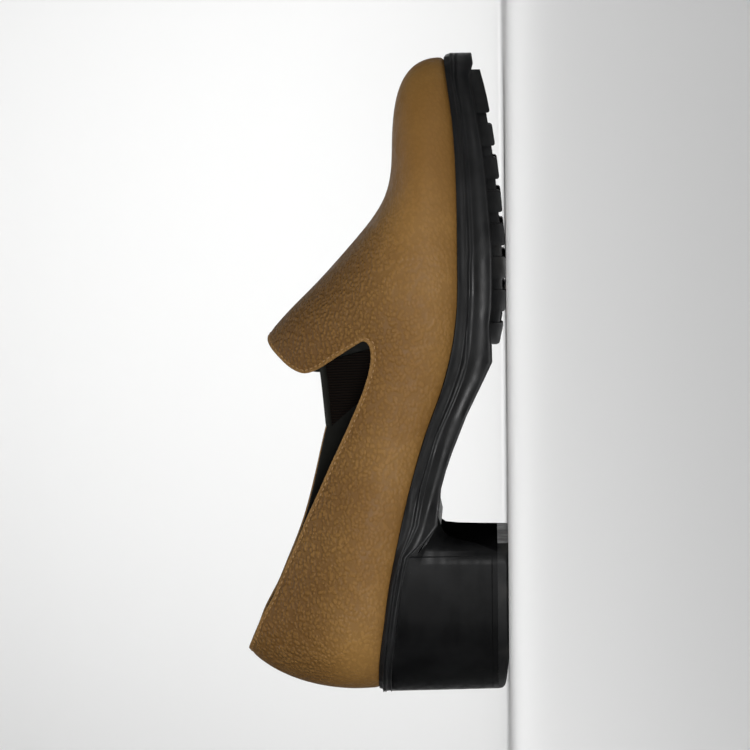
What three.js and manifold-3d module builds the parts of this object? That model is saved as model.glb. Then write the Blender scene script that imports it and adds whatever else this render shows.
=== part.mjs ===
// A right block-heel slip-on shoe: leather upper with a high tab, one elastic gusset, moulded lugged sole.
// Millimetres. X runs from heel to toe, Y to the inner (medial) side, Z up, and the floor is Z = 0.
// The shapes below are worked out in a frame that starts at the back of the heel.
// The last group moves them so that the origin is at the centre of the heel's tread.
import * as THREE from "three";
import { mergeVertices } from "three/addons/utils/BufferGeometryUtils.js";
import Module from "manifold-3d";

// Driving dimensions of the last and the upper
const UPPER_BACK = 1.8; // rearmost point of the upper, from the back of the sole
const UPPER_LENGTH = 246.6;
const BALL_WIDTH = 80;
const HEEL_HEIGHT = 50.2; // feather line above the floor at the back
const SOLE_HEIGHT = 17.7; // feather line above the floor at the ball
const TOE_LIFT = 5; // feather line at the toe tip, above that at the ball
const COLLAR_HEIGHT = 102.2; // top of the back
const INSTEP_HEIGHT = 92.8; // top of the tab
const TOE_HEIGHT = 43.6; // top of the toe box
const BULGE_HEIGHT = 13; // widest line above the feather line
const TUCK = 3; // how far the upper turns in from its widest line to the feather line
const HEEL_ROUND = 31.2; // length of the rounded back, in plan
const TOE_ROUND = 57.5; // length of the rounded toe, in plan
const TOE_BOX = 43.4; // length over which the toe box comes down
const WALL = 2; // leather with its lining
const CLEARANCE = 0.3; // between pieces that touch

// Driving dimensions of the sole and heel
const SOLE_PROUD = 2.2; // sole edge outside the widest line of the upper
const BUMPER_FLAT = 1; // cut square off the tip of the sole
const TOE_SPRING = 11.2; // lower edge of the toe above the floor
const WAIST_RISE = 26.5; // underside of the waist above the floor, at the heel breast
const RIB_DEPTH = 0.7;
const LUG_HEIGHT = 5;
const LUG_COUNT = 8;
const LUG_PITCH = 12.4;
const LUG_LENGTH = 8.2;
const LUG_WIDTH = 15;
const LUG_INSET = 0.8; // from the sole's edge in to the lugs
const TREAD_ROOT = 1; // how far lugs and bars reach up into the sole
const TOE_LUG_LENGTH = 16.5;
const TOE_LUG_SETBACK = 5.4; // from the front of the upper back to the front of the toe lugs
const BAR_LENGTH = 5.6;
const BAR_WIDTH = 22;
const BAR_RISE = 1.5; // bars and webs above the line on which the lugs walk
const GAP_WEB_INSET = 1.3; // the web across the gap between two lugs lies that much further in
const SEAT_THICKNESS = 4.5; // sole over the heel block
const BREAST = 63; // front of the heel at the floor, from the back
const BREAST_FLARE = 10.5; // how far the breast curves forward under the waist
const BREAST_CORNER = 3; // the cut corner between breast and side
const WEB_INSET = 1.7; // the web in front of the heel's outer side lies that much further in
const SEAT_BLEND = 6; // from where the waist's underside turns into the seat, behind the breast
const HEEL_TAPER = 1.3;
const HEEL_TOP_GAP = 0.4; // between heel block and sole
const LIFT_HEIGHT = 3.8;
const LIFT_CORNER = 0.8; // the cut lower corner of the wearing piece
const LIFT_BEVEL = 2.2; // rise of the rear edge of the tread
const BEVEL_LENGTH = 20;
const TREAD_CENTRE = 41; // origin of the shoe, from the back
const INSOLE_THICKNESS = 3.2;
const INSOLE_CUP = 0.7; // how far its edge stands up
const INSOLE_CUP_WIDTH = 8;
const PAD_THICKNESS = 1.1;
const GORE_THICKNESS = 1.3;
const GORE_LAP = 4; // how far the gusset runs on behind the leather
const BINDING_HEIGHT = 2;

// Tables of the last. In each, at is a share of the upper's length, from back to front.
// lateral, medial: half widths as shares of the ball width. proud: share of the sole's edge that stands out.
const OUTLINE = [
  { at: 0.0, lateral: 0.385, medial: 0.385, proud: 0.55 },
  { at: 0.05, lateral: 0.383, medial: 0.385, proud: 0.6 },
  { at: 0.118, lateral: 0.384, medial: 0.389, proud: 0.7 },
  { at: 0.175, lateral: 0.404, medial: 0.4, proud: 0.75 },
  { at: 0.236, lateral: 0.42, medial: 0.392, proud: 0.8 },
  { at: 0.325, lateral: 0.434, medial: 0.364, proud: 0.8 },
  { at: 0.414, lateral: 0.442, medial: 0.368, proud: 0.85 },
  { at: 0.5, lateral: 0.461, medial: 0.4, proud: 0.9 },
  { at: 0.565, lateral: 0.492, medial: 0.432, proud: 0.9 },
  { at: 0.6, lateral: 0.505, medial: 0.442, proud: 0.9 },
  { at: 0.645, lateral: 0.517, medial: 0.463, proud: 0.9 },
  { at: 0.69, lateral: 0.514, medial: 0.481, proud: 0.9 },
  { at: 0.732, lateral: 0.5, medial: 0.481, proud: 0.9 },
  { at: 0.765, lateral: 0.484, medial: 0.477, proud: 0.92 },
  { at: 0.825, lateral: 0.47, medial: 0.474, proud: 0.96 },
  { at: 0.91, lateral: 0.462, medial: 0.472, proud: 1 },
  { at: 1.0, lateral: 0.46, medial: 0.47, proud: 1 },
];
// heel: share of the feather line's rise from ball to heel. lift: share of the toe lift.
// bulge, tuck: shares of those sizes.
const FEATHER = [
  { at: 0.0, heel: 1.0, lift: 0, bulge: 0.75, tuck: 0.15 },
  { at: 0.05, heel: 0.98, lift: 0, bulge: 0.78, tuck: 0.35 },
  { at: 0.118, heel: 0.91, lift: 0, bulge: 0.85, tuck: 0.6 },
  { at: 0.175, heel: 0.85, lift: 0, bulge: 0.9, tuck: 0.7 },
  { at: 0.236, heel: 0.755, lift: 0, bulge: 0.95, tuck: 0.75 },
  { at: 0.325, heel: 0.6, lift: 0, bulge: 1, tuck: 0.8 },
  { at: 0.414, heel: 0.405, lift: 0, bulge: 1, tuck: 0.9 },
  { at: 0.5, heel: 0.165, lift: 0, bulge: 1, tuck: 0.95 },
  { at: 0.565, heel: 0.052, lift: 0, bulge: 1, tuck: 1 },
  { at: 0.6, heel: 0.018, lift: 0, bulge: 1, tuck: 1 },
  { at: 0.645, heel: 0, lift: 0, bulge: 1, tuck: 1 },
  { at: 0.732, heel: 0, lift: 0, bulge: 0.97, tuck: 1 },
  { at: 0.8, heel: 0, lift: 0.05, bulge: 0.85, tuck: 0.93 },
  { at: 0.91, heel: 0, lift: 0.4, bulge: 0.5, tuck: 0.75 },
  { at: 0.96, heel: 0, lift: 0.76, bulge: 0.3, tuck: 0.6 },
  { at: 1.0, heel: 0, lift: 1, bulge: 0.17, tuck: 0.45 },
];
// back, instep: how much of the crown above the toe box comes from the collar's height and the instep's.
// full: exponent of the section's curve.
const CROWN = [
  { at: 0.0, back: 1.11, instep: 0, full: 1.7 },
  { at: 0.118, back: 1.11, instep: 0, full: 1.64 },
  { at: 0.175, back: 0.76, instep: 0.28, full: 1.6 },
  { at: 0.236, back: 0.45, instep: 0.58, full: 1.6 },
  { at: 0.325, back: 0.12, instep: 0.92, full: 1.6 },
  { at: 0.414, back: 0, instep: 1.05, full: 1.65 },
  { at: 0.5, back: 0, instep: 1.035, full: 1.8 },
  { at: 0.565, back: 0, instep: 1.0, full: 1.92 },
  { at: 0.6, back: 0, instep: 0.85, full: 1.98 },
  { at: 0.645, back: 0, instep: 0.61, full: 2.05 },
  { at: 0.69, back: 0, instep: 0.405, full: 2.15 },
  { at: 0.732, back: 0, instep: 0.22, full: 2.25 },
  { at: 0.765, back: 0, instep: 0.085, full: 2.35 },
  { at: 0.8, back: 0, instep: 0.015, full: 2.45 },
  { at: 0.825, back: 0, instep: 0, full: 2.5 },
  { at: 0.91, back: 0, instep: 0, full: 2.6 },
  { at: 1.0, back: 0, instep: 0, full: 2.6 },
];

// The topline on each side, from the back of the collar to the middle of the tab.
// foot: where its line starts on the half outline, as a share of that outline's length from back to toe.
// up: share of the way from the widest line to the crown.
const LATERAL_TOPLINE = [
  { foot: 0, at: 0.064, up: 1 },
  { foot: 0.03, at: 0.072, up: 0.954 },
  { foot: 0.06, at: 0.084, up: 0.887 },
  { foot: 0.09, at: 0.097, up: 0.826 },
  { foot: 0.125, at: 0.12, up: 0.765 },
  { foot: 0.155, at: 0.143, up: 0.735 },
  { foot: 0.205, at: 0.189, up: 0.715 },
  { foot: 0.255, at: 0.234, up: 0.645 },
  { foot: 0.296, at: 0.279, up: 0.58 },
  { foot: 0.337, at: 0.324, up: 0.5 },
  { foot: 0.377, at: 0.369, up: 0.433 },
  { foot: 0.416, at: 0.413, up: 0.368 },
  { foot: 0.455, at: 0.457, up: 0.325 },
  { foot: 0.495, at: 0.501, up: 0.298 },
  { foot: 0.52, at: 0.532, up: 0.286 },
  { foot: 0.54, at: 0.555, up: 0.307 },
  { foot: 0.552, at: 0.564, up: 0.345 },
  { foot: 0.592, at: 0.561, up: 0.386 },
  { foot: 0.625, at: 0.548, up: 0.455 },
  { foot: 0.65, at: 0.533, up: 0.54 },
  { foot: 0.675, at: 0.517, up: 0.63 },
  { foot: 0.7, at: 0.51, up: 0.705 },
  { foot: 0.735, at: 0.516, up: 0.79 },
  { foot: 0.8, at: 0.535, up: 0.89 },
  { foot: 0.9, at: 0.555, up: 0.975 },
  { foot: 1, at: 0.564, up: 1 },
];
const MEDIAL_TOPLINE = [
  { foot: 0, at: 0.064, up: 1 },
  { foot: 0.03, at: 0.072, up: 0.954 },
  { foot: 0.06, at: 0.084, up: 0.89 },
  { foot: 0.09, at: 0.097, up: 0.832 },
  { foot: 0.125, at: 0.12, up: 0.772 },
  { foot: 0.155, at: 0.143, up: 0.748 },
  { foot: 0.205, at: 0.189, up: 0.727 },
  { foot: 0.255, at: 0.234, up: 0.667 },
  { foot: 0.296, at: 0.281, up: 0.617 },
  { foot: 0.337, at: 0.325, up: 0.587 },
  { foot: 0.377, at: 0.37, up: 0.565 },
  { foot: 0.405, at: 0.402, up: 0.55 },
  { foot: 0.425, at: 0.427, up: 0.537 },
  { foot: 0.45, at: 0.455, up: 0.42 },
  { foot: 0.475, at: 0.483, up: 0.32 },
  { foot: 0.492, at: 0.505, up: 0.283 },
  { foot: 0.502, at: 0.514, up: 0.31 },
  { foot: 0.525, at: 0.512, up: 0.37 },
  { foot: 0.57, at: 0.505, up: 0.5 },
  { foot: 0.61, at: 0.497, up: 0.65 },
  { foot: 0.65, at: 0.503, up: 0.745 },
  { foot: 0.72, at: 0.525, up: 0.855 },
  { foot: 0.86, at: 0.552, up: 0.968 },
  { foot: 1, at: 0.564, up: 1 },
];

// Underside of the sole along its length. at: share of the upper's length.
// toe: share of the toe spring. waist: share of the waist's rise.
const UNDERSIDE = [
  { at: 0.23, toe: 0, waist: 1 },
  { at: 0.3, toe: 0, waist: 0.995 },
  { at: 0.335, toe: 0, waist: 0.955 },
  { at: 0.378, toe: 0, waist: 0.835 },
  { at: 0.41, toe: 0, waist: 0.725 },
  { at: 0.453, toe: 0, waist: 0.56 },
  { at: 0.5, toe: 0, waist: 0.345 },
  { at: 0.527, toe: 0, waist: 0.225 },
  { at: 0.552, toe: 0, waist: 0.125 },
  { at: 0.577, toe: 0, waist: 0.062 },
  { at: 0.6, toe: 0, waist: 0.028 },
  { at: 0.63, toe: 0, waist: 0 },
  { at: 0.7, toe: 0, waist: 0 },
  { at: 0.73, toe: 0.04, waist: 0 },
  { at: 0.78, toe: 0.13, waist: 0 },
  { at: 0.826, toe: 0.22, waist: 0 },
  { at: 0.877, toe: 0.37, waist: 0 },
  { at: 0.925, toe: 0.54, waist: 0 },
  { at: 0.975, toe: 0.8, waist: 0 },
  { at: 1.01, toe: 1.05, waist: 0 },
];

// Side of the sole from its top edge down. down: share of the side's height.
// inset: in rib depths, from the outermost edge.
const SOLE_SIDE = [
  { down: 0, inset: 2.4 },
  { down: 0.13, inset: 1.8 },
  { down: 0.17, inset: 0.4 },
  { down: 0.22, inset: 0 },
  { down: 0.28, inset: 0.2 },
  { down: 0.33, inset: 1.1 },
  { down: 0.38, inset: 0.1 },
  { down: 0.46, inset: 0.1 },
  { down: 0.52, inset: 0.8 },
  { down: 0.88, inset: 0.9 },
  { down: 0.93, inset: 0.2 },
  { down: 1, inset: 0.6 },
];

// Number of steps in the curved faces
const COLUMN_STEP = 9; // longest step along the topline or the outline
const TUCK_RINGS = 3;
const UPPER_RINGS = 14;
const RING_SPREAD = 1.35; // above 1, the rings lie closer together near the widest line
const HEEL_STEPS = 14;
const FORE_STEPS = 28;
const PATH_SAMPLES = 90;

const UPPER_FRONT = UPPER_BACK + UPPER_LENGTH;
const TOE_LUG_FRONT = UPPER_FRONT - TOE_LUG_SETBACK;
const LATERAL = -1;
const MEDIAL = 1;

// Smooth value of one column at a key, through every row.
function smooth(rows, key, column, at) {
  const last = rows.length - 1;
  if (at <= rows[0][key]) return rows[0][column];
  if (at >= rows[last][key]) return rows[last][column];
  let i = 0;
  while (at > rows[i + 1][key]) i++;
  const slope = (k) => (rows[k + 1][column] - rows[k][column]) / (rows[k + 1][key] - rows[k][key]);
  const tangent = (k) => {
    if (k === 0) return slope(0);
    if (k === last) return slope(last - 1);
    const before = rows[k][key] - rows[k - 1][key];
    const after = rows[k + 1][key] - rows[k][key];
    if (slope(k - 1) * slope(k) <= 0) return 0;
    return (slope(k - 1) * after + slope(k) * before) / (before + after);
  };
  const width = rows[i + 1][key] - rows[i][key];
  const u = (at - rows[i][key]) / width;
  const start = rows[i][column] * (1 + 2 * u) + tangent(i) * width * u;
  const end = rows[i + 1][column] * (3 - 2 * u) - tangent(i + 1) * width * (1 - u);
  return start * (1 - u) ** 2 + end * u ** 2;
}

const lastAt = (table, column, x) => smooth(table, "at", column, (x - UPPER_BACK) / UPPER_LENGTH);

function featherHeight(x) {
  const rise = (HEEL_HEIGHT - SOLE_HEIGHT) * lastAt(FEATHER, "heel", x);
  return SOLE_HEIGHT + rise + TOE_LIFT * lastAt(FEATHER, "lift", x);
}

const widestHeight = (x) => featherHeight(x) + BULGE_HEIGHT * lastAt(FEATHER, "bulge", x);

// The crown is the top of each section. Behind the tab it is cut away, but it still shapes the walls.
function crownHeight(x) {
  const full = TOE_HEIGHT + (COLLAR_HEIGHT - TOE_HEIGHT) * lastAt(CROWN, "back", x) +
    (INSTEP_HEIGHT - TOE_HEIGHT) * lastAt(CROWN, "instep", x);
  const base = widestHeight(x);
  const behind = Math.max(0, (UPPER_BACK + HEEL_ROUND - x) / HEEL_ROUND);
  const ahead = Math.max(0, (x - UPPER_FRONT + TOE_BOX) / TOE_BOX);
  const heelCurve = Math.sqrt(Math.max(0, 1 - behind ** 2));
  const toeCurve = Math.max(0, 1 - ahead ** 3.2) ** (1 / 2.6);
  return base + (full - base) * heelCurve * toeCurve;
}

// Half width of the upper at its widest line.
function halfWidth(x, side) {
  const body = BALL_WIDTH * lastAt(OUTLINE, side === LATERAL ? "lateral" : "medial", x);
  const behind = Math.max(0, (UPPER_BACK + HEEL_ROUND - x) / HEEL_ROUND);
  const ahead = Math.max(0, (x - UPPER_FRONT + TOE_ROUND) / TOE_ROUND);
  const heelCurve = Math.sqrt(Math.max(0, 1 - behind ** 1.9));
  const toeCurve = Math.sqrt(Math.max(0, 1 - ahead ** 1.65));
  return body * heelCurve * toeCurve;
}

// A point of the outer surface above the widest line: angle 0 is the widest line, a right angle the crown.
function surfacePoint(x, angle, side) {
  const power = 2 / lastAt(CROWN, "full", x);
  const across = Math.max(0, Math.cos(angle)) ** power;
  const up = Math.max(0, Math.sin(angle)) ** power;
  const low = widestHeight(x);
  return new THREE.Vector3(x, side * halfWidth(x, side) * across, low + (crownHeight(x) - low) * up);
}

function angleAcross(x, y, side) {
  const share = Math.min(1, Math.abs(y) / Math.max(1e-6, halfWidth(x, side)));
  return Math.acos(share ** (lastAt(CROWN, "full", x) / 2));
}

function surfaceNormal(x, angle, side) {
  const step = 0.05;
  const nearX = Math.min(Math.max(x, UPPER_BACK + 2 * step), UPPER_FRONT - 2 * step);
  const nearAngle = Math.min(Math.max(angle, 0.03), Math.PI / 2 - 0.03);
  const between = (ahead, behind) => surfacePoint(...ahead, side).sub(surfacePoint(...behind, side));
  const alongX = between([nearX + step, nearAngle], [nearX - step, nearAngle]);
  const alongAngle = between([nearX, nearAngle + 0.01], [nearX, nearAngle - 0.01]);
  const normal = alongX.cross(alongAngle).normalize();
  if (side === LATERAL) normal.negate();
  if (angle > Math.PI / 2 - 0.03) normal.setY(0).normalize();
  return normal.negate();
}

// The outline of one half in plan, from the back to the toe, with its outward normals, evenly spaced.
function halfOutline(side) {
  const points = [];
  for (let i = 0; i <= 1200; i++) {
    const x = UPPER_BACK + UPPER_LENGTH * (1 - Math.cos((Math.PI * i) / 1200)) / 2;
    points.push(new THREE.Vector2(x, side * halfWidth(x, side)));
  }
  const lengths = [0];
  for (let i = 1; i < points.length; i++) lengths.push(lengths[i - 1] + points[i].distanceTo(points[i - 1]));
  return { points, lengths, total: lengths[lengths.length - 1], side };
}

const OUTLINES = { [LATERAL]: halfOutline(LATERAL), [MEDIAL]: halfOutline(MEDIAL) };

function outlineAt(side, share) {
  const { points, lengths, total } = OUTLINES[side];
  const target = share * total;
  const find = (length) => {
    const wanted = Math.min(Math.max(length, 0), total);
    let i = 1;
    while (i < lengths.length - 1 && lengths[i] < wanted) i++;
    const u = (wanted - lengths[i - 1]) / (lengths[i] - lengths[i - 1]);
    return points[i - 1].clone().lerp(points[i], u);
  };
  const point = find(target);
  const ahead = find(target + 0.8).sub(find(target - 0.8));
  const normal = new THREE.Vector2(-ahead.y, ahead.x).multiplyScalar(side).normalize();
  if (share <= 0) normal.set(-1, 0);
  if (share >= 1) normal.set(1, 0);
  return { point, normal };
}

// A closed solid from points and triangles: equal points are joined and flat triangles dropped.
function solidGeometry(points, triangles) {
  const loose = new THREE.BufferGeometry().setFromPoints(points);
  loose.setIndex(triangles.flat());
  const merged = mergeVertices(loose, 1e-3);
  const index = merged.index.array;
  const kept = [];
  let volume = 0;
  const corner = (k) => new THREE.Vector3().fromBufferAttribute(merged.attributes.position, k);
  for (let i = 0; i < index.length; i += 3) {
    const [a, b, c] = [index[i], index[i + 1], index[i + 2]];
    if (a === b || b === c || a === c) continue;
    kept.push(a, b, c);
    volume += corner(a).dot(corner(b).cross(corner(c)));
  }
  if (volume < 0) kept.reverse();
  const geometry = new THREE.BufferGeometry();
  geometry.setAttribute("position", merged.attributes.position);
  geometry.setIndex(kept);
  geometry.computeVertexNormals();
  return geometry;
}

// Two triangles for the square between two neighbours of one row and two of the next.
const square = (a, b, c, d) => [[a, b, c], [a, c, d]];

// A solid from closed rings of equal length, each listed along one side and back along the other,
// so that its two ends are closed by strips across.
function stackedRings(rings) {
  const size = rings[0].length;
  const triangles = [];
  for (let r = 0; r < rings.length - 1; r++) {
    for (let i = 0; i < size; i++) {
      const next = (i + 1) % size;
      triangles.push(...square(r * size + i, r * size + next, (r + 1) * size + next, (r + 1) * size + i));
    }
  }
  const last = (rings.length - 1) * size;
  for (let i = 0; i < size / 2 - 1; i++) {
    const far = size - 1 - i;
    triangles.push(...square(i, far, far - 1, i + 1));
    triangles.push(...square(last + i, last + i + 1, last + far - 1, last + far));
  }
  return solidGeometry(rings.flat(), triangles);
}

// A solid between two faces given as grids of points with the same rows and columns.
function slabGeometry(outer, inner) {
  const rows = outer.length;
  const columns = outer[0].length;
  const at = (layer, r, c) => layer * rows * columns + r * columns + c;
  const triangles = [];
  for (let r = 0; r < rows - 1; r++) {
    for (let c = 0; c < columns - 1; c++) {
      triangles.push(...square(at(0, r, c), at(0, r, c + 1), at(0, r + 1, c + 1), at(0, r + 1, c)));
      triangles.push(...square(at(1, r, c), at(1, r + 1, c), at(1, r + 1, c + 1), at(1, r, c + 1)));
    }
  }
  for (let r = 0; r < rows - 1; r++) {
    triangles.push(...square(at(0, r, 0), at(0, r + 1, 0), at(1, r + 1, 0), at(1, r, 0)));
    const end = columns - 1;
    triangles.push(...square(at(0, r, end), at(1, r, end), at(1, r + 1, end), at(0, r + 1, end)));
  }
  for (let c = 0; c < columns - 1; c++) {
    triangles.push(...square(at(0, 0, c), at(1, 0, c), at(1, 0, c + 1), at(0, 0, c + 1)));
    const end = rows - 1;
    triangles.push(...square(at(0, end, c), at(0, end, c + 1), at(1, end, c + 1), at(1, end, c)));
  }
  return solidGeometry([...outer.flat(), ...inner.flat()], triangles);
}

const wasm = await Module();
wasm.setup();

function toSolid(geometry) {
  const bare = mergeVertices(new THREE.BufferGeometry()
    .setAttribute("position", geometry.attributes.position)
    .setIndex(geometry.index), 1e-4);
  return new wasm.Manifold(new wasm.Mesh({
    numProp: 3,
    vertProperties: new Float32Array(bare.attributes.position.array),
    triVerts: new Uint32Array(bare.index.array),
  }));
}

function joinGeometries(geometries) {
  const joined = geometries.map(toSolid).reduce((sum, next) => sum.add(next));
  const mesh = joined.getMesh();
  const geometry = new THREE.BufferGeometry();
  geometry.setAttribute("position", new THREE.BufferAttribute(new Float32Array(mesh.vertProperties), 3));
  geometry.setIndex(new THREE.BufferAttribute(new Uint32Array(mesh.triVerts), 1));
  geometry.computeVertexNormals();
  return geometry;
}

// The topline of one side, with a mirrored row past each end so that it crosses the middle smoothly.
function toplineRows(rows) {
  const measured = rows.map((row) => {
    const x = UPPER_BACK + UPPER_LENGTH * row.at;
    return { foot: row.foot, x, angle: Math.asin(Math.min(1, row.up) ** (lastAt(CROWN, "full", x) / 2)) };
  });
  const mirror = (row, end) => ({ foot: 2 * end - row.foot, x: row.x, angle: Math.PI - row.angle });
  return [mirror(measured[1], 0), ...measured, mirror(measured[measured.length - 2], 1)];
}

// The columns of one side: shares of the half outline from which a line runs up to the topline.
function columnFeet(rows, side) {
  const feet = [];
  for (let i = 1; i < rows.length - 2; i++) {
    const from = surfacePoint(rows[i].x, rows[i].angle, side);
    const to = surfacePoint(rows[i + 1].x, rows[i + 1].angle, side);
    const low = (rows[i + 1].foot - rows[i].foot) * OUTLINES[side].total;
    const steps = Math.max(1, Math.ceil(Math.max(low, from.distanceTo(to)) / COLUMN_STEP));
    for (let k = 0; k < steps; k++) feet.push(rows[i].foot + ((rows[i + 1].foot - rows[i].foot) * k) / steps);
  }
  return feet;
}

// One line of the upper from the feather line to the topline, as points with their outward normals.
function upperColumn(rows, side, foot) {
  const { point, normal } = outlineAt(side, foot);
  const tuck = TUCK * lastAt(FEATHER, "tuck", point.x);
  const low = featherHeight(point.x);
  const widest = widestHeight(point.x);
  const column = [];
  for (let i = 0; i < TUCK_RINGS; i++) {
    const u = i / TUCK_RINGS;
    const inset = tuck * (1 - u) ** 2;
    const at = new THREE.Vector3(point.x, point.y, low + (widest - low) * u);
    at.x -= normal.x * inset;
    at.y -= normal.y * inset;
    const slope = (2 * tuck * (1 - u)) / (widest - low);
    column.push({ at, out: new THREE.Vector3(normal.x, normal.y, i ? -slope : 0).normalize() });
  }
  const topX = smooth(rows, "foot", "x", foot);
  const topAngle = smooth(rows, "foot", "angle", foot);
  const top = surfacePoint(topX, topAngle, side);
  const path = [];
  for (let i = 0; i <= PATH_SAMPLES; i++) {
    const u = (i / PATH_SAMPLES) ** 3;
    const x = point.x + (top.x - point.x) * u;
    const y = point.y + (top.y - point.y) * u;
    const angle = angleAcross(x, y, side);
    path.push({ x, angle, at: surfacePoint(x, angle, side) });
  }
  const lengths = [0];
  for (let i = 1; i < path.length; i++) lengths.push(lengths[i - 1] + path[i].at.distanceTo(path[i - 1].at));
  const total = lengths[lengths.length - 1];
  for (let r = 0; r <= UPPER_RINGS; r++) {
    const wanted = total * (r / UPPER_RINGS) ** RING_SPREAD;
    let i = 1;
    while (i < lengths.length - 1 && lengths[i] < wanted) i++;
    const u = (wanted - lengths[i - 1]) / (lengths[i] - lengths[i - 1]);
    const x = path[i - 1].x + (path[i].x - path[i - 1].x) * u;
    const angle = path[i - 1].angle + (path[i].angle - path[i - 1].angle) * u;
    const out = r === 0 ? new THREE.Vector3(normal.x, normal.y, 0) : surfaceNormal(x, angle, side);
    column.push({ at: path[i - 1].at.clone().lerp(path[i].at, u), out });
  }
  return column;
}

// The upper: a hollow wall from the feather line to the topline, open above and underneath.
function upperGeometry() {
  const sides = [
    { side: LATERAL, rows: toplineRows(LATERAL_TOPLINE) },
    { side: MEDIAL, rows: toplineRows(MEDIAL_TOPLINE) },
  ];
  const [lateral, medial] = sides.map(({ side, rows }) =>
    [...columnFeet(rows, side), 1].map((foot) => upperColumn(rows, side, foot)));
  const columns = [...lateral, ...medial.slice(1, -1).reverse()];
  const count = columns.length;
  const rings = columns[0].length;
  const outer = columns.map((column) => column.map(({ at }) => at));
  const inner = columns.map((column) => column.map(({ at, out }) => at.clone().addScaledVector(out, -WALL)));
  const id = (layer, c, r) => (layer * count + (c % count)) * rings + r;
  const triangles = [];
  for (let c = 0; c < count; c++) {
    for (let r = 0; r < rings - 1; r++) {
      triangles.push(...square(id(0, c, r), id(0, c + 1, r), id(0, c + 1, r + 1), id(0, c, r + 1)));
      triangles.push(...square(id(1, c, r), id(1, c, r + 1), id(1, c + 1, r + 1), id(1, c + 1, r)));
    }
    triangles.push(...square(id(0, c, 0), id(1, c, 0), id(1, c + 1, 0), id(0, c + 1, 0)));
    const top = rings - 1;
    triangles.push(...square(id(0, c, top), id(0, c + 1, top), id(1, c + 1, top), id(1, c, top)));
  }
  return solidGeometry([...outer.flat(), ...inner.flat()], triangles);
}

// A patch that lies behind the upper's medial wall, between two depths from its outer face.
// Its corners are shares: at along the upper, up from the widest line to the crown.
function innerPatch(bottomEdge, topEdge, depth, thickness, rows, columns) {
  const layer = (inset) => {
    const grid = [];
    for (let r = 0; r <= rows; r++) {
      const line = [];
      for (let c = 0; c <= columns; c++) {
        const u = c / columns;
        const v = r / rows;
        const mix = (key) => {
          const below = bottomEdge[0][key] + (bottomEdge[1][key] - bottomEdge[0][key]) * u;
          const above = topEdge[0][key] + (topEdge[1][key] - topEdge[0][key]) * u;
          return below + (above - below) * v;
        };
        const x = UPPER_BACK + UPPER_LENGTH * mix("at");
        const angle = Math.asin(mix("up") ** (lastAt(CROWN, "full", x) / 2));
        const at = surfacePoint(x, angle, MEDIAL);
        line.push(at.addScaledVector(surfaceNormal(x, angle, MEDIAL), -inset));
      }
      grid.push(line);
    }
    return grid;
  };
  return slabGeometry(layer(depth), layer(depth + thickness));
}

// The corners of the gusset, from the medial topline's own rows.
const NOTCH_LOW = MEDIAL_TOPLINE[15];
const NOTCH_BACK = MEDIAL_TOPLINE[12];
const NOTCH_FRONT = MEDIAL_TOPLINE[19];
const lap = GORE_LAP / UPPER_LENGTH;
const DROP_AT_BACK = 0.02; // the gusset's top corners below the leather's, as shares of the way up
const DROP_AT_FRONT = 0.01;
const DROP_AT_FOOT = 0.07;
const GORE_TOP = [
  { at: NOTCH_BACK.at - lap, up: NOTCH_BACK.up - DROP_AT_BACK },
  { at: NOTCH_FRONT.at + lap, up: NOTCH_FRONT.up - DROP_AT_FRONT },
];
const GORE_BOTTOM = [
  { at: NOTCH_LOW.at - 2 * lap, up: NOTCH_LOW.up - DROP_AT_FOOT },
  { at: NOTCH_LOW.at + 2 * lap, up: NOTCH_LOW.up - DROP_AT_FOOT },
];

function goreGeometry() {
  return innerPatch(GORE_BOTTOM, GORE_TOP, WALL + CLEARANCE, GORE_THICKNESS, 8, 8);
}

function bindingGeometry() {
  const middle = UPPER_BACK + UPPER_LENGTH * (GORE_TOP[0].at + GORE_TOP[1].at) / 2;
  const rise = crownHeight(middle) - widestHeight(middle);
  const raised = (edge, by) => edge.map((end) => ({ at: end.at, up: end.up + by / rise }));
  return innerPatch(raised(GORE_TOP, CLEARANCE), raised(GORE_TOP, CLEARANCE + BINDING_HEIGHT),
    WALL + CLEARANCE, GORE_THICKNESS, 1, 8);
}

// One ring of the sole: the upper's outline moved outwards or inwards, at a height worked out from x.
function soleRing(outset, heightAt) {
  const half = (side) => soleShares(side).map((share) => {
    const { point, normal } = outlineAt(side, share);
    const out = outset(point.x);
    const x = Math.min(point.x + normal.x * out, UPPER_FRONT + SOLE_PROUD - BUMPER_FLAT);
    return new THREE.Vector3(x, point.y + normal.y * out, heightAt(x));
  });
  return [...half(LATERAL), ...half(MEDIAL).reverse()];
}

// Where the rings of sole and heel have their points: even steps up to the breast, then on to the toe.
function soleShares(side) {
  const breast = heelShare(side, BREAST + BREAST_FLARE - BREAST_CORNER);
  const behind = Array.from({ length: HEEL_STEPS }, (_, i) => (breast * i) / HEEL_STEPS);
  const ahead = Array.from({ length: FORE_STEPS + 1 }, (_, i) => breast + ((1 - breast) * i) / FORE_STEPS);
  return [...behind, ...ahead];
}

const proudAt = (x) => SOLE_PROUD * lastAt(OUTLINE, "proud", x);
const soleTop = (x) => featherHeight(x) - CLEARANCE;

// The face that walks on the floor, or would without the heel.
const groundLine = (x) =>
  TOE_SPRING * lastAt(UNDERSIDE, "toe", x) + WAIST_RISE * lastAt(UNDERSIDE, "waist", x);

const LUGS_END = TOE_LUG_FRONT - TOE_LUG_LENGTH - (LUG_COUNT - 1) * LUG_PITCH;

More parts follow.
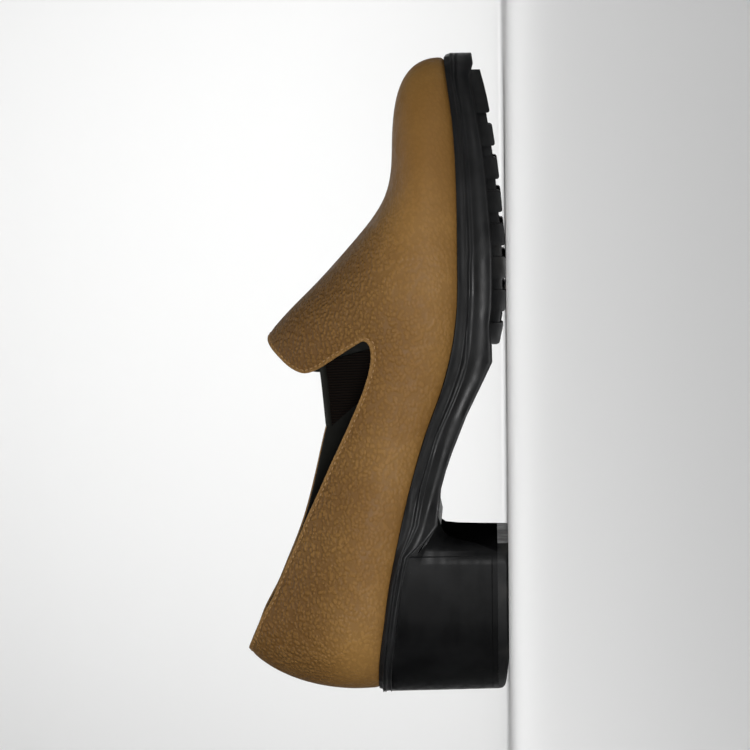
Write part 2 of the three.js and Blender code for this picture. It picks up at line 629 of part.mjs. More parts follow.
// The underside of the sole's body: above the lugs in front, over the heel block at the back.
function bodyUnderside(x) {
  const ramp = (from, to) => THREE.MathUtils.smoothstep(x, from, to);
  const seat = featherHeight(x) - SEAT_THICKNESS;
  const breastEnd = BREAST + BREAST_FLARE;
  const behindLugs = ramp(LUGS_END - 4, LUGS_END + 3);
  const aheadOfLugs = ramp(TOE_LUG_FRONT - 4, TOE_LUG_FRONT + 5);
  const lugRoom = LUG_HEIGHT * behindLugs * (1 - 0.75 * aheadOfLugs);
  const walked = groundLine(x) + lugRoom;
  return THREE.MathUtils.lerp(seat, Math.min(walked, seat), ramp(BREAST - SEAT_BLEND, breastEnd - SEAT_BLEND / 3));
}

// A lug under the edge of the sole, or a lower web between two lugs. Its outer face follows the outline.
function lugGeometry({ rear, front, side, steps = 1, inset = LUG_INSET, rise = 0 }) {
  const rows = [];
  for (let i = 0; i <= steps; i++) {
    const x = rear + ((front - rear) * i) / steps;
    const edge = halfWidth(Math.min(x, UPPER_FRONT - 1.5), side) + proudAt(x);
    const outer = side * Math.max(edge - inset, 2);
    const inner = side * Math.max(edge - LUG_WIDTH, 1);
    rows.push([outer, inner].map((y) => ({ x, y })));
  }
  const layer = (heightAt) => rows.map((row) => row.map(({ x, y }) => new THREE.Vector3(x, y, heightAt(x))));
  return slabGeometry(layer((x) => groundLine(x) + rise), layer((x) => bodyUnderside(x) + TREAD_ROOT));
}

function barGeometry(rear, front) {
  const corners = (heightAt) => [rear, front].map((x) =>
    [-BAR_WIDTH / 2, BAR_WIDTH / 2].map((y) => new THREE.Vector3(x, y, heightAt(x))));
  const top = (x) => bodyUnderside(x) + TREAD_ROOT;
  return slabGeometry(corners((x) => groundLine(x) + BAR_RISE), corners(top));
}

// The moulded sole: a body with ribs round its side, edge lugs under the forefoot and a bar across each gap.
function outsoleGeometry() {
  const rings = SOLE_SIDE.map(({ down, inset }) => {
    const outset = (x) => proudAt(x) - inset * RIB_DEPTH;
    const heightAt = (x) => soleTop(x) + (bodyUnderside(x) - soleTop(x)) * down;
    return soleRing(outset, heightAt);
  });
  const treads = [];
  const gap = LUG_PITCH - LUG_LENGTH;
  for (const side of [LATERAL, MEDIAL]) {
    const toeLugRear = TOE_LUG_FRONT - TOE_LUG_LENGTH;
    treads.push(lugGeometry({ rear: toeLugRear, front: TOE_LUG_FRONT, side, steps: 3 }));
    for (let i = 1; i < LUG_COUNT; i++) {
      const front = toeLugRear - gap - (i - 1) * LUG_PITCH;
      treads.push(lugGeometry({ rear: front - LUG_LENGTH, front, side }));
      const web = { rear: front - TREAD_ROOT, front: front + gap + TREAD_ROOT, side };
      treads.push(lugGeometry({ ...web, inset: LUG_INSET + GAP_WEB_INSET, rise: BAR_RISE }));
    }
  }
  for (let i = 1; i < LUG_COUNT; i++) {
    const middle = TOE_LUG_FRONT - TOE_LUG_LENGTH - gap / 2 - (i - 1) * LUG_PITCH;
    treads.push(barGeometry(middle - BAR_LENGTH / 2, middle + BAR_LENGTH / 2));
  }
  return joinGeometries([stackedRings(rings), ...treads]);
}

// One ring of the heel: the sole's outline from the back to the front of the heel's side, then the edge of the
// web and the corner of the breast, each given as its distance from the back. The inner side has no web.
function heelRing(inset, { sideEnd, web, breast }, heightAt) {
  const half = (side) => {
    const points = [];
    for (let i = 0; i <= HEEL_STEPS; i++) {
      const u = i / HEEL_STEPS;
      const share = heelShare(side, sideEnd) * u;
      const { point, normal } = outlineAt(side, share);
      const out = proudAt(point.x) - inset;
      const x = point.x + normal.x * out;
      points.push(new THREE.Vector3(x, point.y + normal.y * out, heightAt(x)));
    }
    const corner = points[HEEL_STEPS];
    const edge = side === LATERAL ? web : (sideEnd + breast) / 2;
    points.push(new THREE.Vector3(edge, corner.y - side * WEB_INSET, heightAt(edge)));
    points.push(new THREE.Vector3(breast, corner.y - side * BREAST_CORNER, heightAt(breast)));
    return points;
  };
  return [...half(LATERAL), ...half(MEDIAL).reverse()];
}

// The share of the half outline at which it reaches a given x.
function heelShare(side, x) {
  const { points, lengths, total } = OUTLINES[side];
  let i = 1;
  while (i < points.length - 1 && points[i].x < x) i++;
  return lengths[i] / total;
}

// Front of the heel block from the floor up. up: share of its height.
// side, web, breast: how far the end of the side, the web and the breast stand forward, as shares of the flare.
const BREAST_CURVE = [
  { up: 0, side: 0, web: 0, breast: 0 },
  { up: 0.3, side: 0, web: 0.2, breast: 0.01 },
  { up: 0.55, side: 0, web: 0.33, breast: 0.03 },
  { up: 0.74, side: 0, web: 0.47, breast: 0.08 },
  { up: 0.87, side: 0.04, web: 0.64, breast: 0.22 },
  { up: 0.95, side: 0.3, web: 0.83, breast: 0.6 },
  { up: 1, side: 1, web: 1, breast: 1 },
];
const HEEL_FRONT = { sideEnd: BREAST - BREAST_CORNER, web: BREAST - WEB_INSET, breast: BREAST };

function heelBlockGeometry() {
  const bottom = LIFT_HEIGHT + CLEARANCE;
  const rings = BREAST_CURVE.map(({ up, side, web, breast }) => {
    const front = {
      sideEnd: HEEL_FRONT.sideEnd + BREAST_FLARE * side,
      web: HEEL_FRONT.web + BREAST_FLARE * web,
      breast: HEEL_FRONT.breast + BREAST_FLARE * breast,
    };
    const heightAt = (x) => bottom + (bodyUnderside(x) - HEEL_TOP_GAP - bottom) * up;
    return heelRing(HEEL_TAPER * (1 - 0.6 * up), front, heightAt);
  });
  return stackedRings(rings);
}

function topLiftGeometry() {
  const bevel = (x) => LIFT_BEVEL * Math.max(0, 1 - x / BEVEL_LENGTH) ** 1.5;
  const rings = [
    heelRing(HEEL_TAPER + LIFT_CORNER * 1.5, HEEL_FRONT, bevel),
    heelRing(HEEL_TAPER + LIFT_CORNER * 0.375, HEEL_FRONT, (x) => bevel(x) + LIFT_CORNER),
    heelRing(HEEL_TAPER, HEEL_FRONT, () => LIFT_HEIGHT),
  ];
  return stackedRings(rings);
}

// The insole lies on the sole inside the upper's wall, a little cupped at its edge.
const insoleTop = (x) => featherHeight(x) + INSOLE_THICKNESS;

function insoleGeometry() {
  const clear = WALL + CLEARANCE * 4 / 3;
  const edge = (extra) => (x) => -(TUCK * lastAt(FEATHER, "tuck", x) + clear + extra);
  const rings = [
    soleRing(edge(0), featherHeight),
    soleRing(edge(0), (x) => insoleTop(x) + INSOLE_CUP),
    soleRing(edge(INSOLE_CUP_WIDTH * 0.375), (x) => insoleTop(x) + INSOLE_CUP * 0.43),
    soleRing(edge(INSOLE_CUP_WIDTH), insoleTop),
  ];
  return stackedRings(rings);
}

// A pad on the insole: an oval in plan, listed along one side and back along the other.
function padGeometry({ centre, across, length, breadth, skew }) {
  const centreX = UPPER_BACK + UPPER_LENGTH * centre;
  const centreY = BALL_WIDTH * across;
  const halfLength = UPPER_LENGTH * length;
  const halfBreadth = BALL_WIDTH * breadth;
  const steps = 10;
  const ring = (scale, lift) => {
    const half = (side) => {
      const points = [];
      for (let i = 0; i <= steps; i++) {
        const angle = (Math.PI * i) / steps;
        const x = centreX - halfLength * scale * Math.cos(angle);
        const y = centreY + skew * (x - centreX) + side * halfBreadth * scale * Math.sin(angle);
        points.push(new THREE.Vector3(x, y, insoleTop(x) + CLEARANCE + lift));
      }
      return points;
    };
    return [...half(LATERAL), ...half(MEDIAL).reverse()];
  };
  return stackedRings([ring(1, 0), ring(0.98, PAD_THICKNESS * 0.5), ring(0.86, PAD_THICKNESS)]);
}

// Pads on the insole. centre, length: shares of the upper's length.
// across, breadth: shares of the ball width.
const HEEL_PAD = { centre: 0.235, across: 0.035, length: 0.068, breadth: 0.165, skew: 0 };
const ARCH_PAD = { centre: 0.415, across: 0.155, length: 0.105, breadth: 0.095, skew: 0.06 };

const tanLeather = new THREE.MeshStandardMaterial({ color: 0x8f6b40, roughness: 0.55, metalness: 0 });
const elastic = new THREE.MeshStandardMaterial({ color: 0x2e2016, roughness: 0.9, metalness: 0 });
const bindingLeather = new THREE.MeshStandardMaterial({ color: 0xa27a48, roughness: 0.6, metalness: 0 });
const blackRubber = new THREE.MeshStandardMaterial({ color: 0x202122, roughness: 0.5, metalness: 0 });
const heelPlastic = new THREE.MeshStandardMaterial({ color: 0x1a1a1b, roughness: 0.42, metalness: 0 });
const sockLeather = new THREE.MeshStandardMaterial({ color: 0x24241c, roughness: 0.7, metalness: 0 });

const shoe = new THREE.Group();
shoe.position.x = -TREAD_CENTRE;
function addPiece(name, geometry, material) {
  const mesh = new THREE.Mesh(geometry, material);
  mesh.name = name;
  shoe.add(mesh);
}
addPiece("upper", upperGeometry(), tanLeather);
addPiece("elastic_gore", goreGeometry(), elastic);
addPiece("gore_binding", bindingGeometry(), bindingLeather);
addPiece("insole", insoleGeometry(), sockLeather);
addPiece("heel_pad", padGeometry(HEEL_PAD), sockLeather);
addPiece("arch_pad", padGeometry(ARCH_PAD), sockLeather);
addPiece("outsole", outsoleGeometry(), blackRubber);
addPiece("heel_block", heelBlockGeometry(), heelPlastic);
addPiece("top_lift", topLiftGeometry(), blackRubber);

const model = new THREE.Group();
model.add(shoe);
export default model;
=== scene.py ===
# %% [markdown]
# # A block-heel slip-on in tan leather
# This lesson dresses a right shoe. Its solids come from a CAD model: a hollow leather upper, an elastic
# gusset on the inner side with its binding, a footbed with two pads, a moulded sole, a block heel and the
# heel's wearing piece. They give every place and size. Here each of them gets its finished surface, and the
# fine things are added: the folded edge, stitches, creases, the lining, perforations and moulded details.

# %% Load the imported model
import math

import bmesh
import bpy
from mathutils import Matrix, Vector, kdtree
from mathutils.bvhtree import BVHTree


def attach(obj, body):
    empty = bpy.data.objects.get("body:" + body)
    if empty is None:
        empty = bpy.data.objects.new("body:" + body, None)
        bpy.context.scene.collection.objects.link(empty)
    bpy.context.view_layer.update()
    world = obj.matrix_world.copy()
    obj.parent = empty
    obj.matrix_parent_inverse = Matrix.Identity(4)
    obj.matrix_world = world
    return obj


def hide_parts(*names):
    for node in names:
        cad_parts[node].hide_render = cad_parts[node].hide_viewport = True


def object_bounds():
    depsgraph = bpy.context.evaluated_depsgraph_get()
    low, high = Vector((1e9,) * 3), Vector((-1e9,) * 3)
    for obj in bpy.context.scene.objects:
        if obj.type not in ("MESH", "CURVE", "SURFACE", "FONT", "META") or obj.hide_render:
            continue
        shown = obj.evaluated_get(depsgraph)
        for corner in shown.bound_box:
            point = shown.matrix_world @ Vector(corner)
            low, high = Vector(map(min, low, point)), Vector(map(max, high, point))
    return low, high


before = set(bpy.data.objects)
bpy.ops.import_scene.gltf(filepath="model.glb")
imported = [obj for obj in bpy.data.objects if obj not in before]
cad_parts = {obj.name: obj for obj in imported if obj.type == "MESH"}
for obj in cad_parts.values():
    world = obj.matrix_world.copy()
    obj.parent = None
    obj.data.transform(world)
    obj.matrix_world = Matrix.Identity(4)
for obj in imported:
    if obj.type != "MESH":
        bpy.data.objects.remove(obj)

MM = 0.001
BODY = "root"
cad_low, cad_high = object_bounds()
print("nodes:", sorted(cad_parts))
print("box of the solids, mm:", [round(v / MM, 1) for v in (*cad_low, *cad_high)])

# %% [markdown]
# ## Camera
# The picture was taken from the outer side, a little nearer to the toe, with the toe up and the sole to the
# right. The shoe stands here, so the camera is rolled instead: the direction to the toe is up in the
# picture. A long lens from more than a metre gives the same slight perspective. The camera stays just above
# the floor.

# %% Camera
CAMERA_AWAY = 1.28
CAMERA_AHEAD = 0.108     # towards the toe, from the middle of the shoe
CAMERA_HEIGHT = 0.006
PICTURE_HEIGHT = 0.292   # what the picture spans at the shoe
CAMERA_ROLL = math.radians(0.7)  # the shoe leans a little, its toe to the left

middle = Vector(((cad_low.x + cad_high.x) / 2, 0, (cad_low.z + cad_high.z) / 2))
eye = Vector((middle.x + CAMERA_AHEAD, -CAMERA_AWAY, CAMERA_HEIGHT))


def turn_towards(place, target, up):
    """The matrix of a camera or a light at a place, looking at a target."""
    forward = (target - place).normalized()
    right = forward.cross(up).normalized()
    above = right.cross(forward)
    matrix = Matrix((right, above, -forward)).transposed().to_4x4()
    matrix.translation = place
    return matrix


camera_data = bpy.data.cameras.new("camera")
camera_data.clip_start = 0.01
camera_data.lens = camera_data.sensor_width * (middle - eye).length / PICTURE_HEIGHT
camera = bpy.data.objects.new("camera", camera_data)
picture_up = Vector((math.cos(CAMERA_ROLL), 0, -math.sin(CAMERA_ROLL)))
camera.matrix_world = turn_towards(eye, middle, picture_up)
bpy.context.scene.collection.objects.link(camera)
bpy.context.scene.camera = camera
print("lens, mm:", round(camera_data.lens))

# %% [markdown]
# ## Floor and light
# The floor is a pale sheet that sweeps up behind the shoe, so that no horizon cuts the picture. One row of
# vertices is extruded along the sweep's profile. In the photograph the side of the shoe is brightest near
# the sole and its top falls into shade. So one light stands in front and low, and a second one shines down
# on the floor before the shoe, which throws it back up. A faint one stands low before the toe, one gives a
# thin rim from behind, and the last two light only the floor behind the shoe and the backdrop.

# %% Floor
FLOOR_HALF_WIDTH = 3.0
FLOOR_FRONT = -2.6
SWEEP_START = 1.1
SWEEP_RADIUS = 0.7
SWEEP_TOP = 3.0
SWEEP_STEPS = 12

floor_bm = bmesh.new()
start = [floor_bm.verts.new((side * FLOOR_HALF_WIDTH, FLOOR_FRONT, 0)) for side in (-1, 1)]
edge = floor_bm.edges.new(start)
stops = [Vector((0, SWEEP_START, 0))]
for i in range(1, SWEEP_STEPS + 1):
    turn = math.pi / 2 * i / SWEEP_STEPS
    out, up = SWEEP_RADIUS * math.sin(turn), SWEEP_RADIUS * (1 - math.cos(turn))
    stops.append(Vector((0, SWEEP_START + out, up)))
stops.append(Vector((0, SWEEP_START + SWEEP_RADIUS, SWEEP_TOP)))
here = Vector((0, FLOOR_FRONT, 0))
for stop in stops:
    grown = bmesh.ops.extrude_edge_only(floor_bm, edges=[edge])["geom"]
    moved = [v for v in grown if isinstance(v, bmesh.types.BMVert)]
    bmesh.ops.translate(floor_bm, verts=moved, vec=stop - here)
    edge = next(e for e in grown if isinstance(e, bmesh.types.BMEdge))
    here = stop
bmesh.ops.recalc_face_normals(floor_bm, faces=floor_bm.faces)
floor_mesh = bpy.data.meshes.new("floor")
floor_bm.to_mesh(floor_mesh)
floor_bm.free()
for polygon in floor_mesh.polygons:
    polygon.use_smooth = True
floor = bpy.data.objects.new("floor", floor_mesh)
bpy.context.scene.collection.objects.link(floor)

floor_paint = bpy.data.materials.new("pale_floor")
floor_paint.use_nodes = True
floor_shader = floor_paint.node_tree.nodes["Principled BSDF"]
floor_shader.inputs["Base Color"].default_value = (0.8, 0.8, 0.795, 1)
floor_shader.inputs["Roughness"].default_value = 0.75
floor_mesh.materials.append(floor_paint)
print("floor faces:", len(floor_mesh.polygons))

# %% Lights
LIGHTS = {
    "front": {"at": (-0.12, -1.5, 0.06), "to": (0.1, 0, 0.03), "size": 0.3, "watts": 6.0, "spread": 100},
    "bounce": {"at": (0.1, -0.6, 0.9), "to": (0.1, -0.55, 0), "size": 0.7, "watts": 1.5, "spread": 65},
    "toe_side": {"at": (1.2, -1.0, 0.05), "to": (0.1, 0, 0.03), "size": 0.6, "watts": 1.0, "spread": 100},
    "rim": {"at": (0.1, 0.55, 1.2), "to": (0.1, 0, 0.05), "size": 0.7, "watts": 0.1, "spread": 100},
    "behind": {"at": (0.1, 0.42, 0.5), "to": (0.1, 0.42, 0), "size": 0.6, "watts": 0.9, "spread": 75},
    "backdrop": {"at": (0.1, 0.85, 1.3), "to": (0.1, 1.5, 0.1), "size": 1.2, "watts": 7.4, "spread": 95},
}
LIGHT_UP = Vector((0, 0.01, 1))  # a little off upright, so that it also serves a light that shines down
for name, plan in LIGHTS.items():
    light_data = bpy.data.lights.new(name, "AREA")
    light_data.size = plan["size"]
    light_data.energy = plan["watts"]
    light_data.spread = math.radians(plan["spread"])
    light = bpy.data.objects.new(name, light_data)
    light.matrix_world = turn_towards(Vector(plan["at"]), Vector(plan["to"]), LIGHT_UP)
    bpy.context.scene.collection.objects.link(light)

world = bpy.data.worlds.new("soft_grey")
world.use_nodes = True
world.node_tree.nodes["Background"].inputs["Color"].default_value = (0.95, 0.97, 1, 1)
world.node_tree.nodes["Background"].inputs["Strength"].default_value = 0.08
bpy.context.scene.world = world
bpy.context.scene.view_settings.view_transform = "Standard"
print("lights:", list(LIGHTS))

# %% [markdown]
# ## Helpers for meshes
# Each finished piece is an object of its own. It rides on the shoe's body and stands for one CAD object,
# which is left alone. A modifier works on objects only, so a bmesh that needs one is lent an object for
# that moment, and what the modifier makes of it is read back. That keeps the finished pieces free of
# modifiers.


# %% Helpers for meshes
def add_piece(name, bm, materials, stands_for=()):
    """Makes an object of a bmesh, lets it ride on the shoe and hides what it stands for."""
    mesh = bpy.data.meshes.new(name)
    bm.to_mesh(mesh)
    bm.free()
    for polygon in mesh.polygons:
        polygon.use_smooth = True
    for material in materials:
        mesh.materials.append(material)
    piece = bpy.data.objects.new(name, mesh)
    bpy.context.scene.collection.objects.link(piece)
    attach(piece, BODY)
    if stands_for:
        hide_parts(*stands_for)
    print(name, "faces:", len(mesh.polygons))
    return piece


def holder_of(bm):
    """An object that holds a bmesh while a modifier works on it."""
    mesh = bpy.data.meshes.new("working")
    bm.to_mesh(mesh)
    bm.free()
    holder = bpy.data.objects.new("working", mesh)
    bpy.context.scene.collection.objects.link(holder)
    return holder


def after_modifiers(holder, *helpers):
    """What the holder's modifiers make of its mesh, as a new bmesh. The objects used for it are removed."""
    finished = bpy.data.meshes.new_from_object(
        holder.evaluated_get(bpy.context.evaluated_depsgraph_get()))
    result = bmesh.new()
    result.from_mesh(finished)
    bpy.data.meshes.remove(finished)
    for used in (holder, *helpers):
        mesh = used.data
        bpy.data.objects.remove(used)
        bpy.data.meshes.remove(mesh)
    return result


def subdivided(bm, levels):
    """The same mesh after a subdivision surface, as a new bmesh."""
    holder = holder_of(bm)
    modifier = holder.modifiers.new("smooth", "SUBSURF")
    modifier.levels = modifier.render_levels = levels
    return after_modifiers(holder)


def held(share):
    """A share held between 0 and 1."""
    return max(0.0, min(1.0, share))


# %% [markdown]
# ## Helpers for materials
# Each finish is a node tree round one Principled shader. A number that is the same all over the surface
# goes on the shader's socket. What varies is mixed from noise and cells on Object coordinates, which are
# metres here, so a scale of 1000 makes cells of about a millimetre. The patterns then keep their real size
# on every piece.


# %% Helpers for materials
class Finish:
    """A material in the making: small calls that add one node each and join it up."""

    def __init__(self, name, colour, roughness):
        self.material = bpy.data.materials.new(name)
        self.material.use_nodes = True
        self.material.diffuse_color = (*colour, 1)
        self.tree = self.material.node_tree
        self.shader = self.tree.nodes["Principled BSDF"]
        self.shader.inputs["Base Color"].default_value = (*colour, 1)
        self.shader.inputs["Roughness"].default_value = roughness
        self.place = self.tree.nodes.new("ShaderNodeTexCoord").outputs["Object"]

    def put(self, socket, value):
        if isinstance(value, bpy.types.NodeSocket):
            self.tree.links.new(value, socket)
        else:
            socket.default_value = value

    def stretched(self, scale):
        """Object coordinates, longer or shorter along each axis."""
        node = self.tree.nodes.new("ShaderNodeMapping")
        self.put(node.inputs["Vector"], self.place)
        node.inputs["Scale"].default_value = scale
        return node.outputs["Vector"]

    def noise(self, scale, detail, vector=None):
        node = self.tree.nodes.new("ShaderNodeTexNoise")
        self.put(node.inputs["Vector"], vector or self.place)
        node.inputs["Scale"].default_value = scale
        node.inputs["Detail"].default_value = detail
        return node.outputs["Fac"]

    def cells(self, scale, feature="DISTANCE_TO_EDGE", vector=None):
        node = self.tree.nodes.new("ShaderNodeTexVoronoi")
        node.feature = feature
        self.put(node.inputs["Vector"], vector or self.place)
        node.inputs["Scale"].default_value = scale
        return node.outputs["Distance"]

    def attribute(self, name):
        node = self.tree.nodes.new("ShaderNodeAttribute")
        node.attribute_name = name
        return node.outputs["Fac"]

    def axis(self, letter):
        node = self.tree.nodes.new("ShaderNodeSeparateXYZ")
        self.put(node.inputs["Vector"], self.place)
        return node.outputs[letter]

    def maths(self, kind, first, second=0.0):
        node = self.tree.nodes.new("ShaderNodeMath")
        node.operation = kind
        self.put(node.inputs[0], first)
        self.put(node.inputs[1], second)
        return node.outputs["Value"]

    def ramp(self, value, low, high, to_low=0.0, to_high=1.0):
        """A value between low and high, spread smoothly over another range."""
        node = self.tree.nodes.new("ShaderNodeMapRange")
        node.interpolation_type = "SMOOTHSTEP"
        self.put(node.inputs["Value"], value)
        node.inputs["From Min"].default_value = low
        node.inputs["From Max"].default_value = high
        node.inputs["To Min"].default_value = to_low
        node.inputs["To Max"].default_value = to_high
        return node.outputs["Result"]

    def mix(self, share, first, second):
        """Two colours mixed by a share."""
        node = self.tree.nodes.new("ShaderNodeMix")
        node.data_type = "RGBA"
        self.put(node.inputs["Factor"], share)
        for socket, value in ((node.inputs[6], first), (node.inputs[7], second)):
            self.put(socket, value if isinstance(value, bpy.types.NodeSocket) else (*value, 1))
        return node.outputs[2]

    def bump(self, height, depth, strength, under=None):
        node = self.tree.nodes.new("ShaderNodeBump")
        node.inputs["Distance"].default_value = depth
        self.put(node.inputs["Strength"], strength)
        self.put(node.inputs["Height"], height)
        if under is not None:
            self.put(node.inputs["Normal"], under)
        return node.outputs["Normal"]

    def set(self, socket, value):
        self.put(self.shader.inputs[socket], value)


# %% [markdown]
# ## Tan leather
# The hide is full-grain and pebbled: rounded grains about a millimetre across with fine valleys between
# them, flat and tight over the toe, loose and deep on the tab and along the quarters. The distance to the
# middle of each cell gives a rounded pebble, and noise breaks the cells up, so that they don't look like
# tiles. An attribute on the mesh says how deep the grain is. The colour is a warm tan, cloudy from the dye,
# and lighter along the folded edge, where the hide is skived and stretched. Shade is painted into it too:
# the valleys are darkened as painted shade, and where the grain is deep, on the tab and high on the
# quarters, the whole hide is darker as painted shade for the upper parts of the shoe.


# %% Tan leather
def tan_leather():
    finish = Finish("tan_leather", (0.245, 0.125, 0.042), 0.5)
    cloud = finish.noise(32, 4)
    patch = finish.noise(9, 2)
    grain = finish.cells(720, "F1", finish.stretched((0.78, 1.0, 1.0)))
    crumple = finish.noise(640, 3, finish.stretched((0.65, 1.0, 1.0)))
    pores = finish.noise(2600, 2)
    # the grain's depth, which also sets the painted shade below
    depth = finish.attribute("grain")
    edge = finish.attribute("folded_edge")
    valley = finish.ramp(finish.maths("ADD", grain, finish.maths("MULTIPLY", crumple, 0.5)), 0.5, 0.95)
    base = finish.mix(finish.ramp(cloud, 0.35, 0.68), (0.215, 0.108, 0.026), (0.28, 0.15, 0.04))
    base = finish.mix(finish.ramp(patch, 0.4, 0.62, 0.0, 0.3), base, (0.185, 0.09, 0.021))
    # painted shade: the hide is darker where the grain attribute is deep, on the tab and high on the
    # quarters
    base = finish.mix(finish.ramp(depth, 0.3, 1.0, 0.0, 0.45), base, (0.125, 0.058, 0.013))
    # painted shade in the valleys between the grains
    painted_valley_shade = finish.maths("MULTIPLY", valley, finish.maths("MULTIPLY", depth, 0.5))
    base = finish.mix(painted_valley_shade, base, (0.075, 0.033, 0.008))
    base = finish.mix(finish.maths("MULTIPLY", edge, 0.45), base, (0.33, 0.185, 0.06))
    finish.set("Base Color", base)
    finish.set("Roughness", finish.ramp(finish.noise(240, 3), 0.3, 0.7, 0.47, 0.62))
    finish.set("Specular IOR Level", 0.2)
    relief = finish.maths("SUBTRACT", 1.0, valley)
    strong = finish.ramp(depth, 0.1, 1.0, 0.12, 1.0)
    finish.set("Normal", finish.bump(pores, 0.04 * MM, 0.4, finish.bump(relief, 0.45 * MM, strong)))
    return finish.material


leather = tan_leather()
print("made", leather.name)

# %% [markdown]
# ## Lining and footbed leather
# Inside, the shoe is lined with thin leather of a dark olive black. It is smoother than the outside, with
# small wrinkles from being pulled over the last. The footbed cover is the same hide, lighter and a little
# worn in patches. One function makes both, because only their colours and their gloss differ.


# %% Lining and footbed leather
def dark_leather(name, colour, worn, roughness):
    finish = Finish(name, colour, roughness)
    cloud = finish.noise(45, 4)
    wrinkle = finish.noise(120, 4, finish.stretched((1.0, 0.35, 0.6)))
    finish.set("Base Color", finish.mix(finish.ramp(cloud, 0.4, 0.68), colour, worn))
    finish.set("Roughness", finish.ramp(finish.noise(180, 2), 0.3, 0.7, roughness - 0.08, roughness + 0.1))
    finish.set("Specular IOR Level", 0.22)
    normal = finish.bump(finish.ramp(finish.cells(1500), 0.0, 0.2), 0.08 * MM, 0.5)
    finish.set("Normal", finish.bump(wrinkle, 0.6 * MM, 0.35, normal))
    return finish.material


lining = dark_leather("lining_leather", (0.004, 0.0042, 0.0028), (0.009, 0.0088, 0.0062), 0.62)
footbed_leather = dark_leather("footbed_leather", (0.012, 0.0115, 0.008), (0.026, 0.024, 0.017), 0.55)
print("made", lining.name, footbed_leather.name)

# %% [markdown]
# ## Elastic and thread
# The gusset is woven elastic: fine ribs a millimetre apart run from its point up to its binding, with a
# weft across them. The ribs are bands of a wave along X, which is close enough on such a small, nearly flat
# piece. The thread is waxed polyester in a golden tan, a little rough to the eye and with a slight sheen.


# %% Elastic and thread
RIB_PITCH = 1.05 * MM
WEFT_PITCH = 0.5 * MM


def ribbed_elastic():
    finish = Finish("brown_elastic", (0.03, 0.014, 0.007), 0.85)
    rib = finish.maths("SINE", finish.maths("MULTIPLY", finish.axis("X"), 2 * math.pi / RIB_PITCH))
    weft = finish.maths("SINE", finish.maths("MULTIPLY", finish.axis("Z"), 2 * math.pi / WEFT_PITCH))
    ridge = finish.ramp(rib, -1.0, 1.0)
    finish.set("Base Color", finish.mix(ridge, (0.0022, 0.0012, 0.0008), (0.008, 0.0042, 0.0022)))
    height = finish.maths("ADD", ridge, finish.maths("MULTIPLY", weft, 0.15))
    finish.set("Normal", finish.bump(height, 0.3 * MM, 0.9))
    finish.set("Specular IOR Level", 0.15)
    return finish.material


def waxed_thread():
    finish = Finish("golden_thread", (0.3, 0.165, 0.055), 0.5)
    finish.set("Base Color", finish.mix(finish.noise(600, 2), (0.22, 0.115, 0.035), (0.35, 0.2, 0.07)))
    finish.set("Normal", finish.bump(finish.noise(3500, 2), 0.05 * MM, 0.5))
    return finish.material


elastic = ribbed_elastic()
thread = waxed_thread()
print("made", elastic.name, thread.name)

# %% [markdown]
# ## Black rubber and heel plastic
# The sole is moulded black rubber with a soft sheen. It is rubbed a little grey in patches, and dust sits
# low on the lugs. The heel is harder and smoother, with fine scratches and a few small scuffs at its lower
# back. A raised frame round the panel on its side stands out by so little that a bump in the material does
# for it. Its breast, the hollow face towards the toe, came matt out of the mould.


# %% Black rubber and heel plastic
DUST_TOP = 6 * MM         # dust on the lugs fades out at this height
SCUFF_TOP = 16 * MM       # scuffs on the heel lie below this height
SCUFF_REAR = -40 * MM     # and are thickest here
SCUFF_FRONT = -22 * MM    # and end here
FRAME_FRONT = 17.6 * MM   # the rear edge of the frame's front bar
FRAME_FOOT = 6.0 * MM     # the top of its lower bar
FRAME_WIDTH = 0.5 * MM    # over which it falls to the panel


def black_rubber():
    finish = Finish("black_rubber", (0.008, 0.0082, 0.0085), 0.38)
    cloud = finish.noise(60, 4)
    low = finish.ramp(finish.axis("Z"), 0.0, DUST_TOP, 0.5, 0.0)
    dusty = finish.maths("MULTIPLY", low, finish.ramp(cloud, 0.45, 0.7))
    base = finish.mix(finish.ramp(cloud, 0.4, 0.7), (0.006, 0.0062, 0.0065), (0.012, 0.0123, 0.0127))
    finish.set("Base Color", finish.mix(dusty, base, (0.035, 0.033, 0.029)))
    finish.set("Roughness", finish.ramp(finish.noise(150, 4), 0.3, 0.7, 0.34, 0.52))
    finish.set("Specular IOR Level", 0.2)
    finish.set("Normal", finish.bump(finish.noise(1400, 4), 0.05 * MM, 0.6))
    return finish.material


